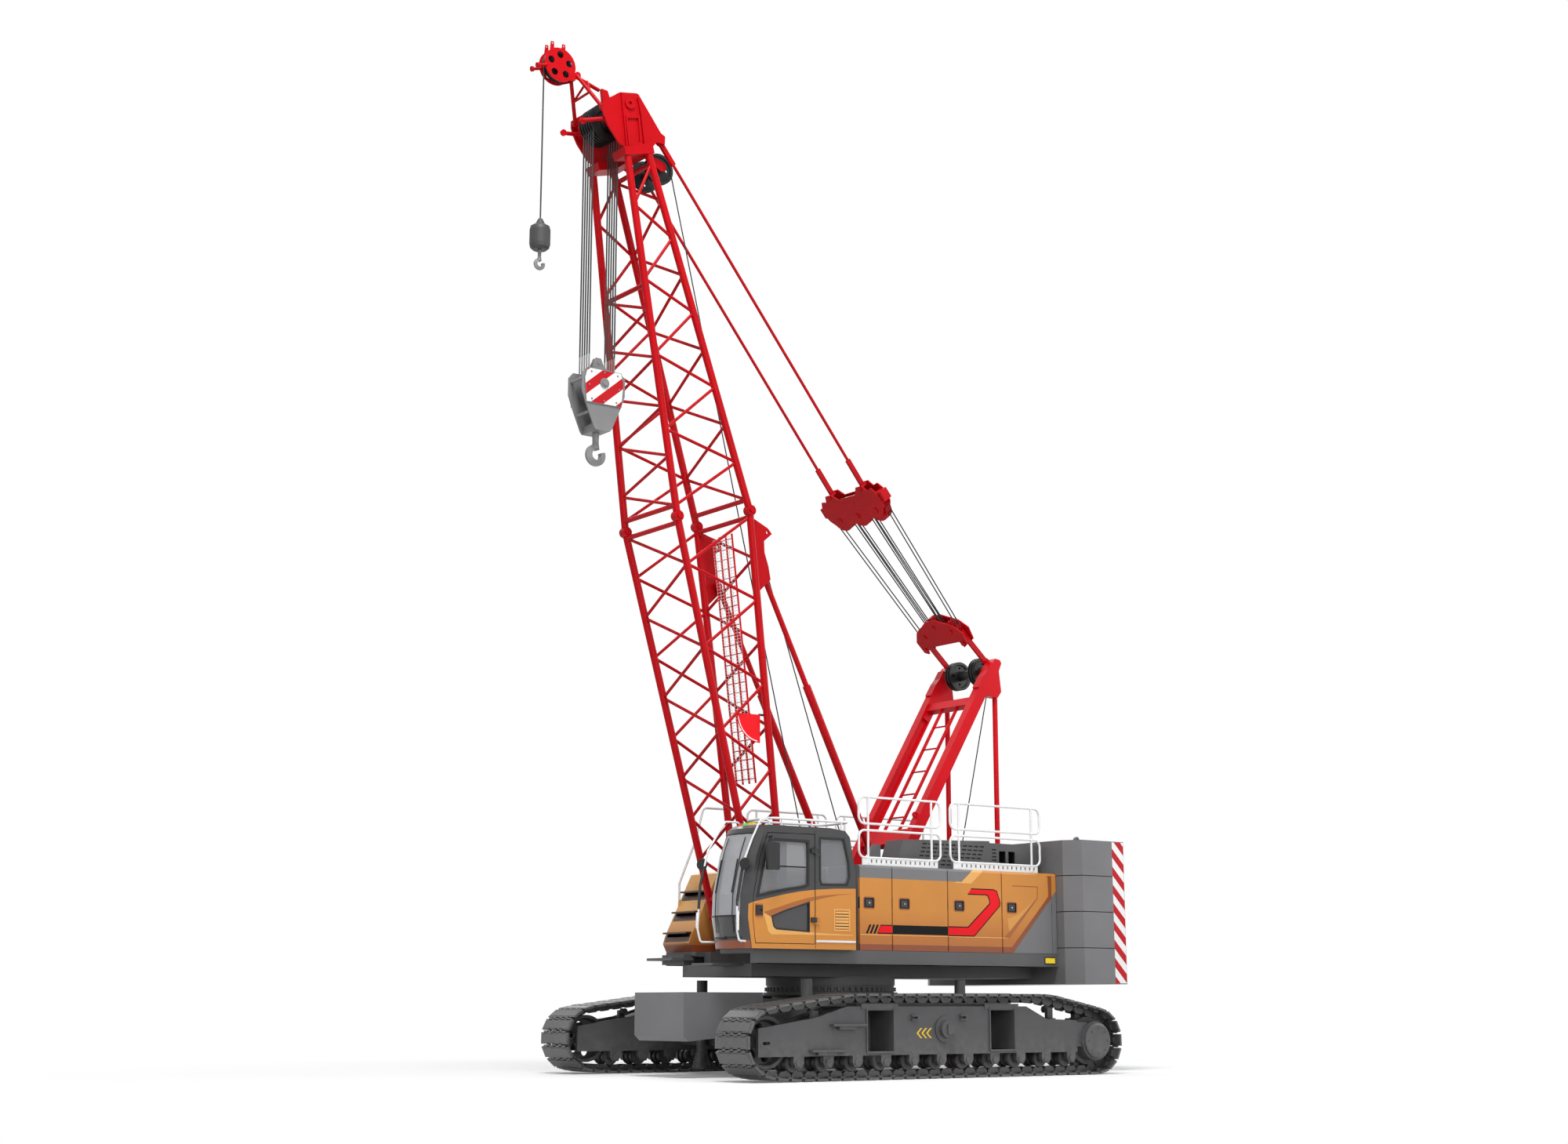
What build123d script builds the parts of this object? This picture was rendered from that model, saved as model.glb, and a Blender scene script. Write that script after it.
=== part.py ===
"""Crawler crane with a lattice boom, as separate parts in one frame.

Millimetres. X forward, Y to the operator's left, Z up. The origin is on the ground, on the slew axis.
Every part is written in place to parts/NODE.step.
"""
from build123d import *
import math
import os

# ---- Driving dimensions: undercarriage ----
TRACK_HEIGHT = 1200
TRACK_GAUGE = 4720
SHOE_WIDTH = 790
SHOE_COUNT = 68
SHOE_THICK = 55
LINK_PROFILE = [(0.04, 60), (0.12, 140), (0.88, 140), (0.96, 60)]
RAIL_Y = 85
RAIL_WIDTH = 50
SHOE_PROFILE = [(0.03, 30), (0.09, 0), (0.91, 0), (0.97, 30)]
CHAIN_DEPTH = 85
TRACK_Y = TRACK_GAUGE / 2
IDLER_X = 3048
IDLER_Z = 530
DRIVE_X = -3048
DRIVE_Z = 502
TRACK_END_R = DRIVE_Z
RAIL_INSET = SHOE_THICK + CHAIN_DEPTH
RAIL_R = TRACK_END_R - RAIL_INSET - 6
SPROCKET_TIP_R = 432
CARRIERS = [(2235, 862, 935), (-2240, 832, 970)]
WINDOW = (235, 395, 960)
SPROCKET_TEETH = 13
FRAME_HALF = 290
FRAME_PLATE = 50
FRAME_TOP = 1016
ROLLER_R = 110
ROLLER_Z = RAIL_INSET + ROLLER_R
ROLLER_XS = [2600 - 516 * i for i in range(11)]
BEAM_X = 1160
BEAM_HALF = 215
JACK_X = 1480
JACK_Y = 1350
RING_R = 1040
RING_TOP = 1330
RING_TEETH = 64

# ---- Driving dimensions: upperworks ----
SLEW_GAP = 0.8
PIN_GAP = 0.5
DECK_TOP = 1830
DECK_BOTTOM = 1630
DECK_HALF = 1500
DECK_REAR = -3430
GIRDER_IN = 515
GIRDER_OUT = 690
HOUSE_FRONT = 600
HOUSE_TOP = 3100
HOUSE_IN = 720
PANEL = 40
PANEL_GAP = 8
LATCH_XS = (420, -265, -1364, -2458)
LATCH_Z = 2535
RAIL_TUBE = 18
RAIL_BEND = 110
RAIL_BAYS = ((560, -1050), (-1250, -3140))
STEP_TREADS = ((2050, 2110), (1890, 2430), (1730, 2750))
CW_SEAM = 12
PANEL_EDGES = (600, -26, -1131, -2249, -3320)
CAB_IN = 730
CAB_OUT = 1610
CAB_REAR = 760
CAB_TOP = 3600
CAB_WALL = 50
CAB_SECTIONS = ((730, 0), (820, 95), (1170, 190), (1520, 95), (1610, 0))
SCREEN_BOX = (2250, 3050, 820, 1520, 1990, 3470)
PANE = 8
DOOR_HINGE = (1522, 1632)
DOOR_HINGE_ZS = (2250, 3250)
CW_HALF = 1920
CW_REAR = -4600
CW_BOTTOM = 1360
CW_TOP = 3640
CW_SLABS = 4

# ---- Driving dimensions: gantry, boom and rigging ----
GANTRY_Y = 600
GANTRY_FOOT = (-180, 2000)
GANTRY_HEAD = (-2950, 6540)
LEG_HALF = 75
LADDER_Y = 190
BEAM_PLACES = ((0.36, 270), (0.86, 150))
ROPE_RUN = (-0.641, -0.767)
SPREADER_PINS = [(-465, 433), (0, 433), (465, 433)]
BAIL_PINS = [(-330, -60), (0, -200), (330, -60)]
PLATE_OFF = 75
PLATE_THICK = 24
LEG_DEPTH = 190
STRUT_X = -3000
FOOT = (1520, 2050)
PIN_HALF = 720
FOOT_HALF = 590
FOOT_PIN_R = 45
WALKWAY_THICK = 30
WALKWAY_YS = (-250, -84, 84, 250)
WALKWAY_RUNGS = 26
FRONT_PIN = (3410, 8200)
REAR_PIN = (2080, 8465)
HEAD_HALF = 500
FRONT_END = (4240, 13765)
REAR_END = (3870, 13919)
CHORD_R = 57
LACE_R = 24
CROSS_R = 38
OPEN_FRONT = 0.64
HEAD_AXLE = (4420, 14400)
HEAD_SHEAVE_R = 300
FALL_OFFSET = 222
FALL_YS = [-136 + 68 * i for i in range(5)]
HEAD_PLATE_Y = 440
HEAD_RIBS = (((4362, 14784), (4314, 14424), (4248, 13903)), ((4062, 14786), (4000, 14517), (3920, 13984)))
HEAD_FRAME = [(4285, 14431), (4029, 14497), (3978, 14034), (4220, 13961)]
JIB_AXLE = (5225, 15160)
JIB_SHEAVE_R = 250
JIB_FOOT = (4645, 14500)
JIB_FOOT_Y = 405
PENDANT_TOP = (3600, 14200)
PENDANT_Y = 400
SPREADER = (-406, 9273)
BAIL = (-2400, 7090)
BAIL_PIN = (-2930, 6620)
BAIL_LINK_Y = 470
STOP_SEAT = (-340, 3400)
STOP_PIN = (1742, 7525)
STOP_Y = 600
STOP_ROD_R = 42
DRUMS = {"main": (620, 2300), "aux": (-620, 2300), "luffing": (-2150, 2300)}
DRUM_R = 270
FLANGE_R = 390
DRUM_HALF = 430
DRUM_SHAFT_R = 60
ROPE_R = 12
SHEAVE_WIDTH = 60
GROOVE_HALF = 14
GROOVE_DEPTH = 28
ROPE_GAP = 0.8
SHEAVE_HOLES = 4
LINK_LENGTH = 420
EYE_PLACES = (0.42,)
MAIN_SHANK_R = 54
AUX_SHANK_R = 29
BLOCK_AXLE_Z = 10200
CROSSHEAD = 730
BLOCK_SHEAVE_R = 262
CHEEK_Y = 185
CHEEK_THICK = 24
CROSSHEAD_THICK = 120
HOOK_X = HEAD_AXLE[0]
FALL_ROOM = 210
AUX_X = JIB_AXLE[0] + JIB_SHEAVE_R - GROOVE_DEPTH + ROPE_R + ROPE_GAP


# ---- Shape helpers ----
def box(x0, x1, y0, y1, z0, z1):
    """Box between two limits on each axis; Y limits in either order."""
    y0, y1 = sorted((y0, y1))
    size = Box(x1 - x0, y1 - y0, z1 - z0)
    return Pos((x0 + x1) / 2, (y0 + y1) / 2, (z0 + z1) / 2) * size


def plate_xz(points, y0, y1):
    """Plate with an outline in X and Z, between two Y limits in either order."""
    y0, y1 = sorted((y0, y1))
    wire = Wire.make_polygon([(x, y0, z) for x, z in points], close=True)
    return Solid.extrude(Face(wire), Vector(0, y1 - y0, 0))


def plate_yz(points, x0, x1):
    """Plate with an outline in Y and Z, from x0 to x1."""
    wire = Wire.make_polygon([(x0, y, z) for y, z in points], close=True)
    return Solid.extrude(Face(wire), Vector(x1 - x0, 0, 0))


def plate_xy(points, z0, z1):
    """Plate with an outline in X and Y, from z0 to z1."""
    wire = Wire.make_polygon([(x, y, z0) for x, y in points], close=True)
    return Solid.extrude(Face(wire), Vector(0, 0, z1 - z0))


def turned(centre, y, profile):
    """Round part about an axis along Y; profile is (offset along Y, radius)."""
    points = [(centre[0] + radius, y + offset, centre[1]) for offset, radius in profile]
    return Solid.revolve(Face(Wire.make_polygon(points, close=True)), 360,
                         Axis((centre[0], 0, centre[1]), (0, 1, 0)))


def turned_z(x, y, profile):
    """Round part about a vertical axis; profile is (height, radius)."""
    points = [(x + radius, y, z) for z, radius in profile]
    return Solid.revolve(Face(Wire.make_polygon(points, close=True)), 360, Axis((x, y, 0), (0, 0, 1)))


def bent_tube(points, bend, radius, close=False):
    """Round tube through corner points, bent to one radius."""
    path = FilletPolyline(*points, radius=bend, close=close).wire()
    section = Face(Wire.make_circle(radius, Plane(origin=path @ 0, z_dir=path % 0)))
    return Solid.sweep(section, path)


def slanted(origin, run, points, near, far):
    """Plate in the plane of Y and a slanted run: points are (y, distance along the run)."""
    length = math.hypot(*run)
    run_x, run_z = run[0] / length, run[1] / length
    corners = [(origin[0] + s * run_x - near * run_z, y, origin[1] + s * run_z + near * run_x)
               for y, s in points]
    face = Face(Wire.make_polygon(corners, close=True))
    return Solid.extrude(face, Vector(-run_z, 0, run_x) * (far - near))


def both(points):
    """Outline of (y, s) points on one side, closed by its mirror image in Y."""
    return points + [(-y, s) for y, s in reversed(points)]


def rod(start, end, radius):
    """Round bar between two points."""
    run = Vector(*end) - Vector(*start)
    return Solid.make_cylinder(radius, run.length, Plane(origin=start, z_dir=run))


def disc(centre, radius, y0, y1):
    """Round bar along Y, centred on (x, z)."""
    return rod((centre[0], y0, centre[1]), (centre[0], y1, centre[1]), radius)


def bar_xz(start, end, depth, y0, y1):
    """Flat bar between two (x, z) points, of the given depth across its run."""
    dx, dz = end[0] - start[0], end[1] - start[1]
    length = math.hypot(dx, dz)
    nx, nz = -dz / length * depth / 2, dx / length * depth / 2
    corners = [(start[0] + nx, start[1] + nz), (end[0] + nx, end[1] + nz),
               (end[0] - nx, end[1] - nz), (start[0] - nx, start[1] - nz)]
    return plate_xz(corners, y0, y1)


def along(start, end, t):
    """Point at fraction t from start to end."""
    return tuple(a + (b - a) * t for a, b in zip(start, end))


def at_y(point, y):
    """3D point from (x, z) and y."""
    return (point[0], y, point[1])


def fuse(pieces):
    """One shape from touching or crossing pieces."""
    joined = pieces[0].fuse(*pieces[1:]) if len(pieces) > 1 else pieces[0]
    return Compound(list(joined)) if isinstance(joined, (list, ShapeList)) else joined


def group(pieces):
    """Separate solids kept in one part."""
    solids = [solid for piece in pieces for solid in piece.solids()]
    return Compound(solids)


def mirror_y(shape):
    """The same shape on the other side of the machine."""
    return shape.mirror(Plane.XZ)


# ---- Tracks ----
def loop_circles():
    """Circles (x, z, radius) that the outside of the track is stretched around, front first."""
    drop = TRACK_HEIGHT - 350
    return [(2650, 300, 300), (IDLER_X, IDLER_Z, TRACK_END_R), (1650, drop, 350),
            (-2050, drop, 350), (DRIVE_X, DRIVE_Z, TRACK_END_R)]


def loop_runs():
    """Straight and round runs of the outer track line: (kind, data, length)."""
    circles = loop_circles()
    angles = []
    for (x0, z0, r0), (x1, z1, r1) in zip(circles, circles[1:] + circles[:1]):
        distance = math.hypot(x1 - x0, z1 - z0)
        heading = math.atan2(z1 - z0, x1 - x0)
        angles.append(heading - math.acos((r0 - r1) / distance))
    runs = []
    count = len(circles)
    for i, (x, z, r) in enumerate(circles):
        into, out = angles[i - 1], angles[i]
        turn = (out - into) % (2 * math.pi)
        runs.append(("arc", (x, z, r, into, turn), r * turn))
        xn, zn, rn = circles[(i + 1) % count]
        a = (x + r * math.cos(out), z + r * math.sin(out))
        b = (xn + rn * math.cos(out), zn + rn * math.sin(out))
        runs.append(("line", (a, b, out), math.dist(a, b)))
    return runs


def loop_point(runs, s, inset):
    """Point on the track line at distance s, moved inwards by inset."""
    s %= sum(run[2] for run in runs)
    for kind, data, length in runs:
        if s <= length:
            break
        s -= length
    if kind == "arc":
        x, z, r, into, turn = data
        angle = into + turn * s / length
        return (x + (r - inset) * math.cos(angle), z + (r - inset) * math.sin(angle))
    (x0, z0), (x1, z1), out = data
    t = s / length
    return (x0 + (x1 - x0) * t - inset * math.cos(out), z0 + (z1 - z0) * t - inset * math.sin(out))


def inner_line(runs, inset, arc_step=0.35):
    """Plain inner outline of the track at one inset."""
    points = []
    for kind, data, _ in runs:
        if kind == "arc":
            x, z, r, into, turn = data
            steps = max(2, math.ceil(turn / arc_step))
            for i in range(steps + 1):
                angle = into + turn * i / steps
                points.append((x + (r - inset) * math.cos(angle), z + (r - inset) * math.sin(angle)))
    return points


def ground_phase(runs):
    """Distance along the track line to the point on the ground under the slew axis."""
    s = 0
    for kind, data, length in runs:
        if kind == "line":
            (x0, z0), (_, z1), _ = data
            if abs(z0) < 1 and abs(z1) < 1:
                return s + abs(x0)
        s += length


def per_shoe(runs, profile):
    """Outline round the track that repeats one profile of (share of the pitch, inset) per shoe."""
    pitch = sum(run[2] for run in runs) / SHOE_COUNT
    phase = ground_phase(runs) - pitch / 2
    return [loop_point(runs, phase + (i + share) * pitch, inset)
            for i in range(SHOE_COUNT) for share, inset in profile]


def track_loop(y):
    """Endless track: shoes in its outline, and two chain rails with a link to each shoe."""
    runs = loop_runs()
    half = SHOE_WIDTH / 2
    plates = plate_xz(per_shoe(runs, SHOE_PROFILE), y - half, y + half)
    plates = plates.cut(plate_xz(inner_line(runs, SHOE_THICK), y - half - 1, y + half + 1))
    rails = []
    for side in (-1, 1):
        mid, reach = y + side * RAIL_Y, RAIL_WIDTH / 2
        rail = plate_xz(inner_line(runs, SHOE_THICK), mid - reach, mid + reach)
        rails.append(rail.cut(plate_xz(per_shoe(runs, LINK_PROFILE), mid - reach - 1, mid + reach + 1)))
    return fuse([plates] + rails)


def side_frame(y):
    """Box frame inside one track: side plates, windows with sills, steps, bosses and carrier posts."""
    side = 1 if y > 0 else -1
    outline = [(3290, 340), (3290, 720), (2310, 862), (1750, FRAME_TOP), (-1650, FRAME_TOP),
               (-2070, 830), (-2690, 810), (-2690, 340)]
    plates = [plate_xz(outline, y + s * FRAME_HALF, y + s * (FRAME_HALF - FRAME_PLATE)) for s in (-1, 1)]
    middle = [(2420, 400), (2420, 790), (1700, FRAME_TOP - 20), (-1620, FRAME_TOP - 20), (-2060, 800),
              (-2500, 780), (-2500, 400)]
    core = plate_xz(middle, y - FRAME_HALF + 10, y + FRAME_HALF - 10)
    slide = box(-1450, 1450, y - 120, y + 120, FRAME_TOP - 25, TRACK_HEIGHT - RAIL_INSET)
    frame = fuse(plates + [core, slide])
    y0, y1 = y - side * (FRAME_HALF - FRAME_PLATE - 10), y + side * (FRAME_HALF + 60)
    half, low, high = WINDOW
    cuts = [box(x - half, x + half, y0, y1, low, high) for x in (BEAM_X, -BEAM_X)]
    slot = y + side * FRAME_HALF
    cuts.append(fuse([box(3110, 3190, slot - 60, slot + 60, 500, 545)]
                     + [disc((x, 522), 22, slot - 60, slot + 60) for x in (3110, 3190)]))
    frame = frame.cut(*cuts)
    face = y + side * FRAME_HALF
    pieces = [frame]

    def on_face(x0, x1, z0, z1, reach):
        return box(x0, x1, face - side * 20, face + side * reach, z0, z1)

    for x in (BEAM_X, -BEAM_X):
        pieces.append(on_face(x - half - 22, x - half, low - 20, high + 40, 18))
        pieces.append(on_face(x + half, x + half + 22, low - 20, high + 40, 18))
        pieces.append(on_face(x - half - 22, x + half + 22, low - 25, low, 30))
        pieces.append(on_face(x - half - 90, x + half + 110, FRAME_TOP - 40, FRAME_TOP + 38, 10))
    # Steps: rear edge, front edge, height
    for x0, x1, z in ((1452, 2060, 745), (1806, 2430, 395)):
        pieces.append(on_face(x0, x1, z, z + 30, 90))
        pieces.append(on_face(x0 + 180, x1 - 120, z - 45, z + 2, 70))
    for x in (540, -380):
        pieces.append(on_face(x - 60, x + 60, 875, 895, 45))
        pieces.append(on_face(x - 60, x + 60, 820, 840, 45))
        pieces.append(on_face(x - 60, x - 40, 820, 895, 45))
    ring = [(side * (FRAME_HALF - 20), 0), (side * (FRAME_HALF - 20), 185), (side * (FRAME_HALF + 25), 185),
            (side * (FRAME_HALF + 25), 120), (side * (FRAME_HALF + 90), 120), (side * (FRAME_HALF + 90), 0)]
    pieces.append(turned((-40, 690), y, ring))
    pieces.append(box(-150, -20, face, face + side * 110, 620, 760))
    for x, foot, axle in CARRIERS:
        pieces.append(box(x - 55, x + 55, y + side * 150 - 30, y + side * 150 + 30, foot - 60, axle + 20))
        pieces.append(box(x - 55, x + 55, y + side * 130, y + side * 240, foot - 60, foot + 10))
    return fuse(pieces)


def rollers(y):
    """Flanged lower rollers with axle blocks and caps, and the two carrier rollers."""
    pieces = []
    reach = FRAME_HALF
    for x in ROLLER_XS:
        centre = (x, ROLLER_Z)
        treads = [turned(centre, y, [(s * 30, 0), (s * 30, ROLLER_R), (s * 118, ROLLER_R), (s * 122, 132),
                                     (s * 150, 124), (s * 150, 0)]) for s in (-1, 1)]
        axle = disc(centre, 48, y - reach + 5, y + reach - 5)
        blocks = []
        for s in (-1, 1):
            block = plate_xz([(x - 90, 340), (x - 90, 250), (x - 50, 185), (x + 50, 185), (x + 90, 250),
                              (x + 90, 340)], y + s * reach, y + s * (reach - 80))
            blocks.append(block)
            blocks.append(disc(centre, 52, y + s * (reach - 10), y + s * (reach + 14)))
        pieces.append(fuse(treads + [axle] + blocks))
    return group(pieces + carrier_rollers(y))


def carrier_rollers(y):
    """Small rollers on posts that carry the upper run."""
    side = 1 if y > 0 else -1
    pieces = []
    for x, _, axle in CARRIERS:
        mid = y + side * 75
        roller = turned((x, axle), mid, [(-40, 0), (-40, 52), (-28, 40), (28, 40), (40, 52), (40, 0)])
        pieces.append(fuse([roller, disc((x, axle), 18, mid, mid + side * 45)]))
    return pieces


def wheel_profile(radius, half, rim, web, hub):
    """Half outline of a wheel: rim, thin web and hub, as (offset along Y, radius)."""
    return [(-half, 0), (-half, hub), (-web, hub + 20), (-web, radius - rim - 25), (-half + 10, radius - rim),
            (-half, radius), (half, radius), (half - 10, radius - rim), (web, radius - rim - 25),
            (web, hub + 20), (half, hub), (half, 0)]


def idler(y):
    """Front idler: rim, six spokes between cut-outs, and hub."""
    centre = (IDLER_X, IDLER_Z)
    wheel = turned(centre, y, wheel_profile(RAIL_R, 140, 45, 30, 90))
    holes = []
    for i in range(6):
        turn = math.radians(60 * i + 15)
        place = (IDLER_X + 205 * math.cos(turn), IDLER_Z + 205 * math.sin(turn))
        holes.append(disc(place, 68, y - 150, y + 150))
    axle = disc(centre, 70, y - FRAME_HALF + FRAME_PLATE, y + FRAME_HALF - FRAME_PLATE)
    return fuse([wheel.cut(*holes), axle])


def sprocket_outline(centre):
    """Sprocket teeth: root and tip points for each tooth."""
    points = []
    for i in range(SPROCKET_TEETH):
        for share, radius in ((0.0, RAIL_R - 10), (0.28, RAIL_R - 10), (0.44, SPROCKET_TIP_R),
                              (0.84, SPROCKET_TIP_R)):
            turn = 2 * math.pi * (i + share) / SPROCKET_TEETH
            points.append((centre[0] + radius * math.cos(turn), centre[1] + radius * math.sin(turn)))
    return points


def drive(y):
    """Rear sprocket with its teeth between the rails, and the round drive housing."""
    side = 1 if y > 0 else -1
    centre = (DRIVE_X, DRIVE_Z)
    wheel = turned(centre, y, [(-130, 0), (-130, RAIL_R), (-65, RAIL_R), (-65, 250), (65, 250), (65, RAIL_R),
                               (130, RAIL_R), (130, 0)])
    teeth = plate_xz(sprocket_outline(centre), y - 45, y + 45)
    housing = [(-250, 0), (-250, 290), (330, 290), (330, 262), (372, 262), (385, 235), (385, 0)]
    hub = turned(centre, y, [(side * offset, radius) for offset, radius in housing])
    carrier = box(-2900, -2690, y - FRAME_HALF, y + FRAME_HALF, 420, 780)
    return fuse([wheel, teeth, hub, carrier])


# ---- Carbody ----
def carbody():
    """Centre box, cross beams and the pedestal of the slewing ring."""
    centre = box(-1300, 1300, -1200, 1200, 470, 1130)
    ends = box(-1760, 1760, -640, 640, 600, 1130)
    beams = [box(x - BEAM_HALF, x + BEAM_HALF, -TRACK_Y + FRAME_HALF, TRACK_Y - FRAME_HALF, 420, 940)
             for x in (BEAM_X, -BEAM_X)]
    pedestal = disc_z(0, 0, 900, 1100, 1180)
    arms = [box(sx * JACK_X - 95, sx * JACK_X + 95, min(sy * 1100, sy * 1440), max(sy * 1100, sy * 1440),
                700, 1000) for sx in (-1, 1) for sy in (-1, 1)]
    reach = [box(min(sx * 1200, sx * 1500), max(sx * 1200, sx * 1500), sy * 1150 - 50, sy * 1150 + 50,
                 700, 1000) for sx in (-1, 1) for sy in (-1, 1)]
    body = fuse([centre, ends, pedestal] + beams + arms + reach)
    bores = [disc_z(sx * JACK_X, sy * JACK_Y, 85, 600, 1100) for sx in (-1, 1) for sy in (-1, 1)]
    return body.cut(*bores)


def disc_z(x, y, radius, z0, z1):
    """Round bar along Z."""
    return rod((x, y, z0), (x, y, z1), radius)


def carbody_weights():
    """Front and rear carbody weights."""
    outline = [(1760, 640), (3080, 520), (3170, 600), (3170, 1218), (1760, 1218)]
    front = plate_xz(outline, -650, 650)
    rear = plate_xz([(-x, z) for x, z in outline], -650, 650)
    return group([front, rear])


def jacks():
    """Four corner jacks with their feet."""
    pieces = []
    for sx in (-1, 1):
        for sy in (-1, 1):
            x, y = sx * JACK_X, sy * JACK_Y
            leg = disc_z(x, y, 84, 320, 1410)
            foot = Solid.make_cone(150, 90, 260, Plane(origin=(x, y, 70)))
            pieces.append(fuse([leg, foot]))
    return group(pieces)


def slew_ring():
    """Fixed half of the slewing ring: flange, toothed band and bolt ring."""
    flange = turned_z(0, 0, [(1180, 0), (1180, RING_R), (1225, RING_R), (1225, 985), (RING_TOP, 985),
                             (RING_TOP, 0)])
    teeth = []
    for i in range(RING_TEETH):
        turn = 2 * math.pi * i / RING_TEETH
        for share, radius in ((0.0, 985), (0.25, 985), (0.4, 1018), (0.85, 1018)):
            angle = turn + 2 * math.pi * share / RING_TEETH
            teeth.append((radius * math.cos(angle), radius * math.sin(angle)))
    return fuse([flange, plate_xy(teeth, 1240, 1300)])


# ---- Upperworks ----
def revolving_frame():
    """Deck, girders, side beams and the brackets of boom, gantry and back-stops."""
    base = RING_TOP + SLEW_GAP
    pieces = [disc_z(0, 0, 1000, base, 1460)]
    pieces.append(box(DECK_REAR, 2150, -900, 900, 1450, DECK_BOTTOM))
    for s in (-1, 1):
        y0, y1 = sorted((s * GIRDER_IN, s * GIRDER_OUT))
        pieces.append(box(DECK_REAR, 1900, y0, y1, DECK_BOTTOM, DECK_TOP))
        front = 2560 if s > 0 else 2060
        y0, y1 = sorted((s * GIRDER_OUT, s * DECK_HALF))
        pieces.append(box(DECK_REAR, front, y0, y1, DECK_TOP - 60, DECK_TOP))
        y0, y1 = sorted((s * (DECK_HALF - 60), s * DECK_HALF))
        pieces.append(box(DECK_REAR, front, y0, y1, DECK_BOTTOM, DECK_TOP))
        y0, y1 = sorted((s * GIRDER_OUT, s * DECK_HALF))
        for x in (-3300, -1500, 500):
            pieces.append(box(x - 60, x + 60, y0, y1, DECK_BOTTOM, DECK_TOP))
        for y in (FOOT_HALF - 58, FOOT_HALF + 58):
            lug = [(1330, DECK_TOP), (1400, 2180), (1640, 2180), (1710, DECK_TOP)]
            y0, y1 = sorted((s * (y - 17), s * (y + 17)))
            pieces.append(plate_xz(lug, y0, y1))
        y0, y1 = sorted((s * (FOOT_HALF - 75), s * (FOOT_HALF + 75)))
        pieces.append(disc(FOOT, FOOT_PIN_R, y0, y1))
        for y in (GANTRY_Y - 95, GANTRY_Y + 95):
            lug = [(-400, DECK_TOP), (-300, 2100), (-60, 2100), (40, DECK_TOP)]
            y0, y1 = sorted((s * (y - 14), s * (y + 14)))
            pieces.append(plate_xz(lug, y0, y1))
        y0, y1 = sorted((s * 700, s * 560))
        pieces.append(box(STRUT_X - 80, STRUT_X + 80, y0, y1, DECK_TOP, 1960))
    pieces.append(box(2050, 2450, -1450, -760, 1700, 1740))
    pieces.append(box(2000, 2200, -1400, -800, 1640, 1790))
    pieces.append(box(2150, 2700, 150, 690, 1600, 1640))
    for x, z in DRUMS.values():
        for s in (-1, 1):
            y0, y1 = sorted((s * 455, s * 500))
            cheek = plate_xz([(x - 300, DECK_BOTTOM), (x - 120, z + 100), (x + 120, z + 100),
                              (x + 300, DECK_BOTTOM)], y0, y1)
            pieces.append(cheek.cut(disc((x, z), DRUM_SHAFT_R + PIN_GAP, y0 - 5, y1 + 5)))
    return fuse(pieces)


def latch_recess(x, y_out):
    """Pocket of one panel latch: (cutter, paddle)."""
    cutter = box(x - 100, x + 100, y_out - 14, y_out + 20, LATCH_Z - 78, LATCH_Z + 78)
    paddle = box(x - 62, x + 58, y_out - 16, y_out - 3, LATCH_Z - 45, LATCH_Z + 45)
    return cutter, paddle


def house(side):
    """Machine house frame on one side: end walls, inner wall and roof."""
    y_in, y_out = HOUSE_IN, DECK_HALF - PANEL
    walls = [box(DECK_REAR + 10, HOUSE_FRONT, y_in, y_in + PANEL, DECK_TOP, HOUSE_TOP),
             box(DECK_REAR + 10, HOUSE_FRONT, y_in, y_out, HOUSE_TOP - PANEL, HOUSE_TOP),
             box(HOUSE_FRONT - PANEL, HOUSE_FRONT, y_in, y_out, DECK_TOP, HOUSE_TOP),
             box(DECK_REAR + 10, DECK_REAR + 10 + PANEL, y_in, y_out, DECK_TOP, HOUSE_TOP)]
    seat = plate_xz([(-420, HOUSE_TOP), (-420, 3480), (-260, 3480), (-100, HOUSE_TOP)], y_in, y_in + 30)
    pin = disc(STOP_SEAT, 30, STOP_Y - 55, y_in + 20)
    shell = fuse(walls + [seat, pin])
    return shell if side > 0 else mirror_y(shell)


def side_panels(side):
    """Row of hinged panels with rounded tops and latch pockets that close one machine house."""
    edges = list(PANEL_EDGES) + [DECK_REAR + 10]
    section = [(DECK_HALF - PANEL, DECK_TOP + 4), (DECK_HALF, DECK_TOP + 4), (DECK_HALF, HOUSE_TOP - 40),
               (DECK_HALF - 12, HOUSE_TOP - 12), (DECK_HALF - PANEL, HOUSE_TOP)]
    pieces = []
    for front, rear in zip(edges, edges[1:]):
        panel = plate_yz(section, rear + PANEL_GAP / 2, front - PANEL_GAP / 2)
        for x in LATCH_XS:
            if rear < x < front:
                cutter, paddle = latch_recess(x, DECK_HALF)
                panel = fuse([panel.cut(cutter), paddle])
        pieces.append(panel)
    shape = group(pieces)
    return shape if side > 0 else mirror_y(shape)


def engine_hood():
    """Raised cover over the engine with slotted sides, and its rear box."""
    y_in, y_out = 760, 1180
    hood = plate_xz([(-370, HOUSE_TOP), (-520, 3540), (-2300, 3590), (-2300, HOUSE_TOP)], y_in, y_out)
    slots = []
    for row in range(6):
        z = 3170 + 62 * row
        front = -800 - 22 * row
        for column in range(11):
            x = front - 118 * column
            slots.append(box(x - 88, x, y_out - 12, y_out + 10, z, z + 24))
    hood = hood.cut(*slots)
    rear = box(-3350, -2300, y_in, y_out, HOUSE_TOP, 3560)
    side_slots = [box(-2440, -2350, y_out - 12, y_out + 10, 3170 + 55 * i, 3195 + 55 * i) for i in range(6)]
    bays = [box(-2640, -2500, y_out - 220, y_out + 10, HOUSE_TOP + 20, 3440),
            box(-2840, -2700, y_out - 220, y_out + 10, HOUSE_TOP + 20, 3440)]
    return fuse([hood, rear.cut(*side_slots, *bays)])


def engine_block():
    """Engine as one plain block."""
    return box(-2500, -900, HOUSE_IN + 140, DECK_HALF - 120, DECK_TOP, 2900)


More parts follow.
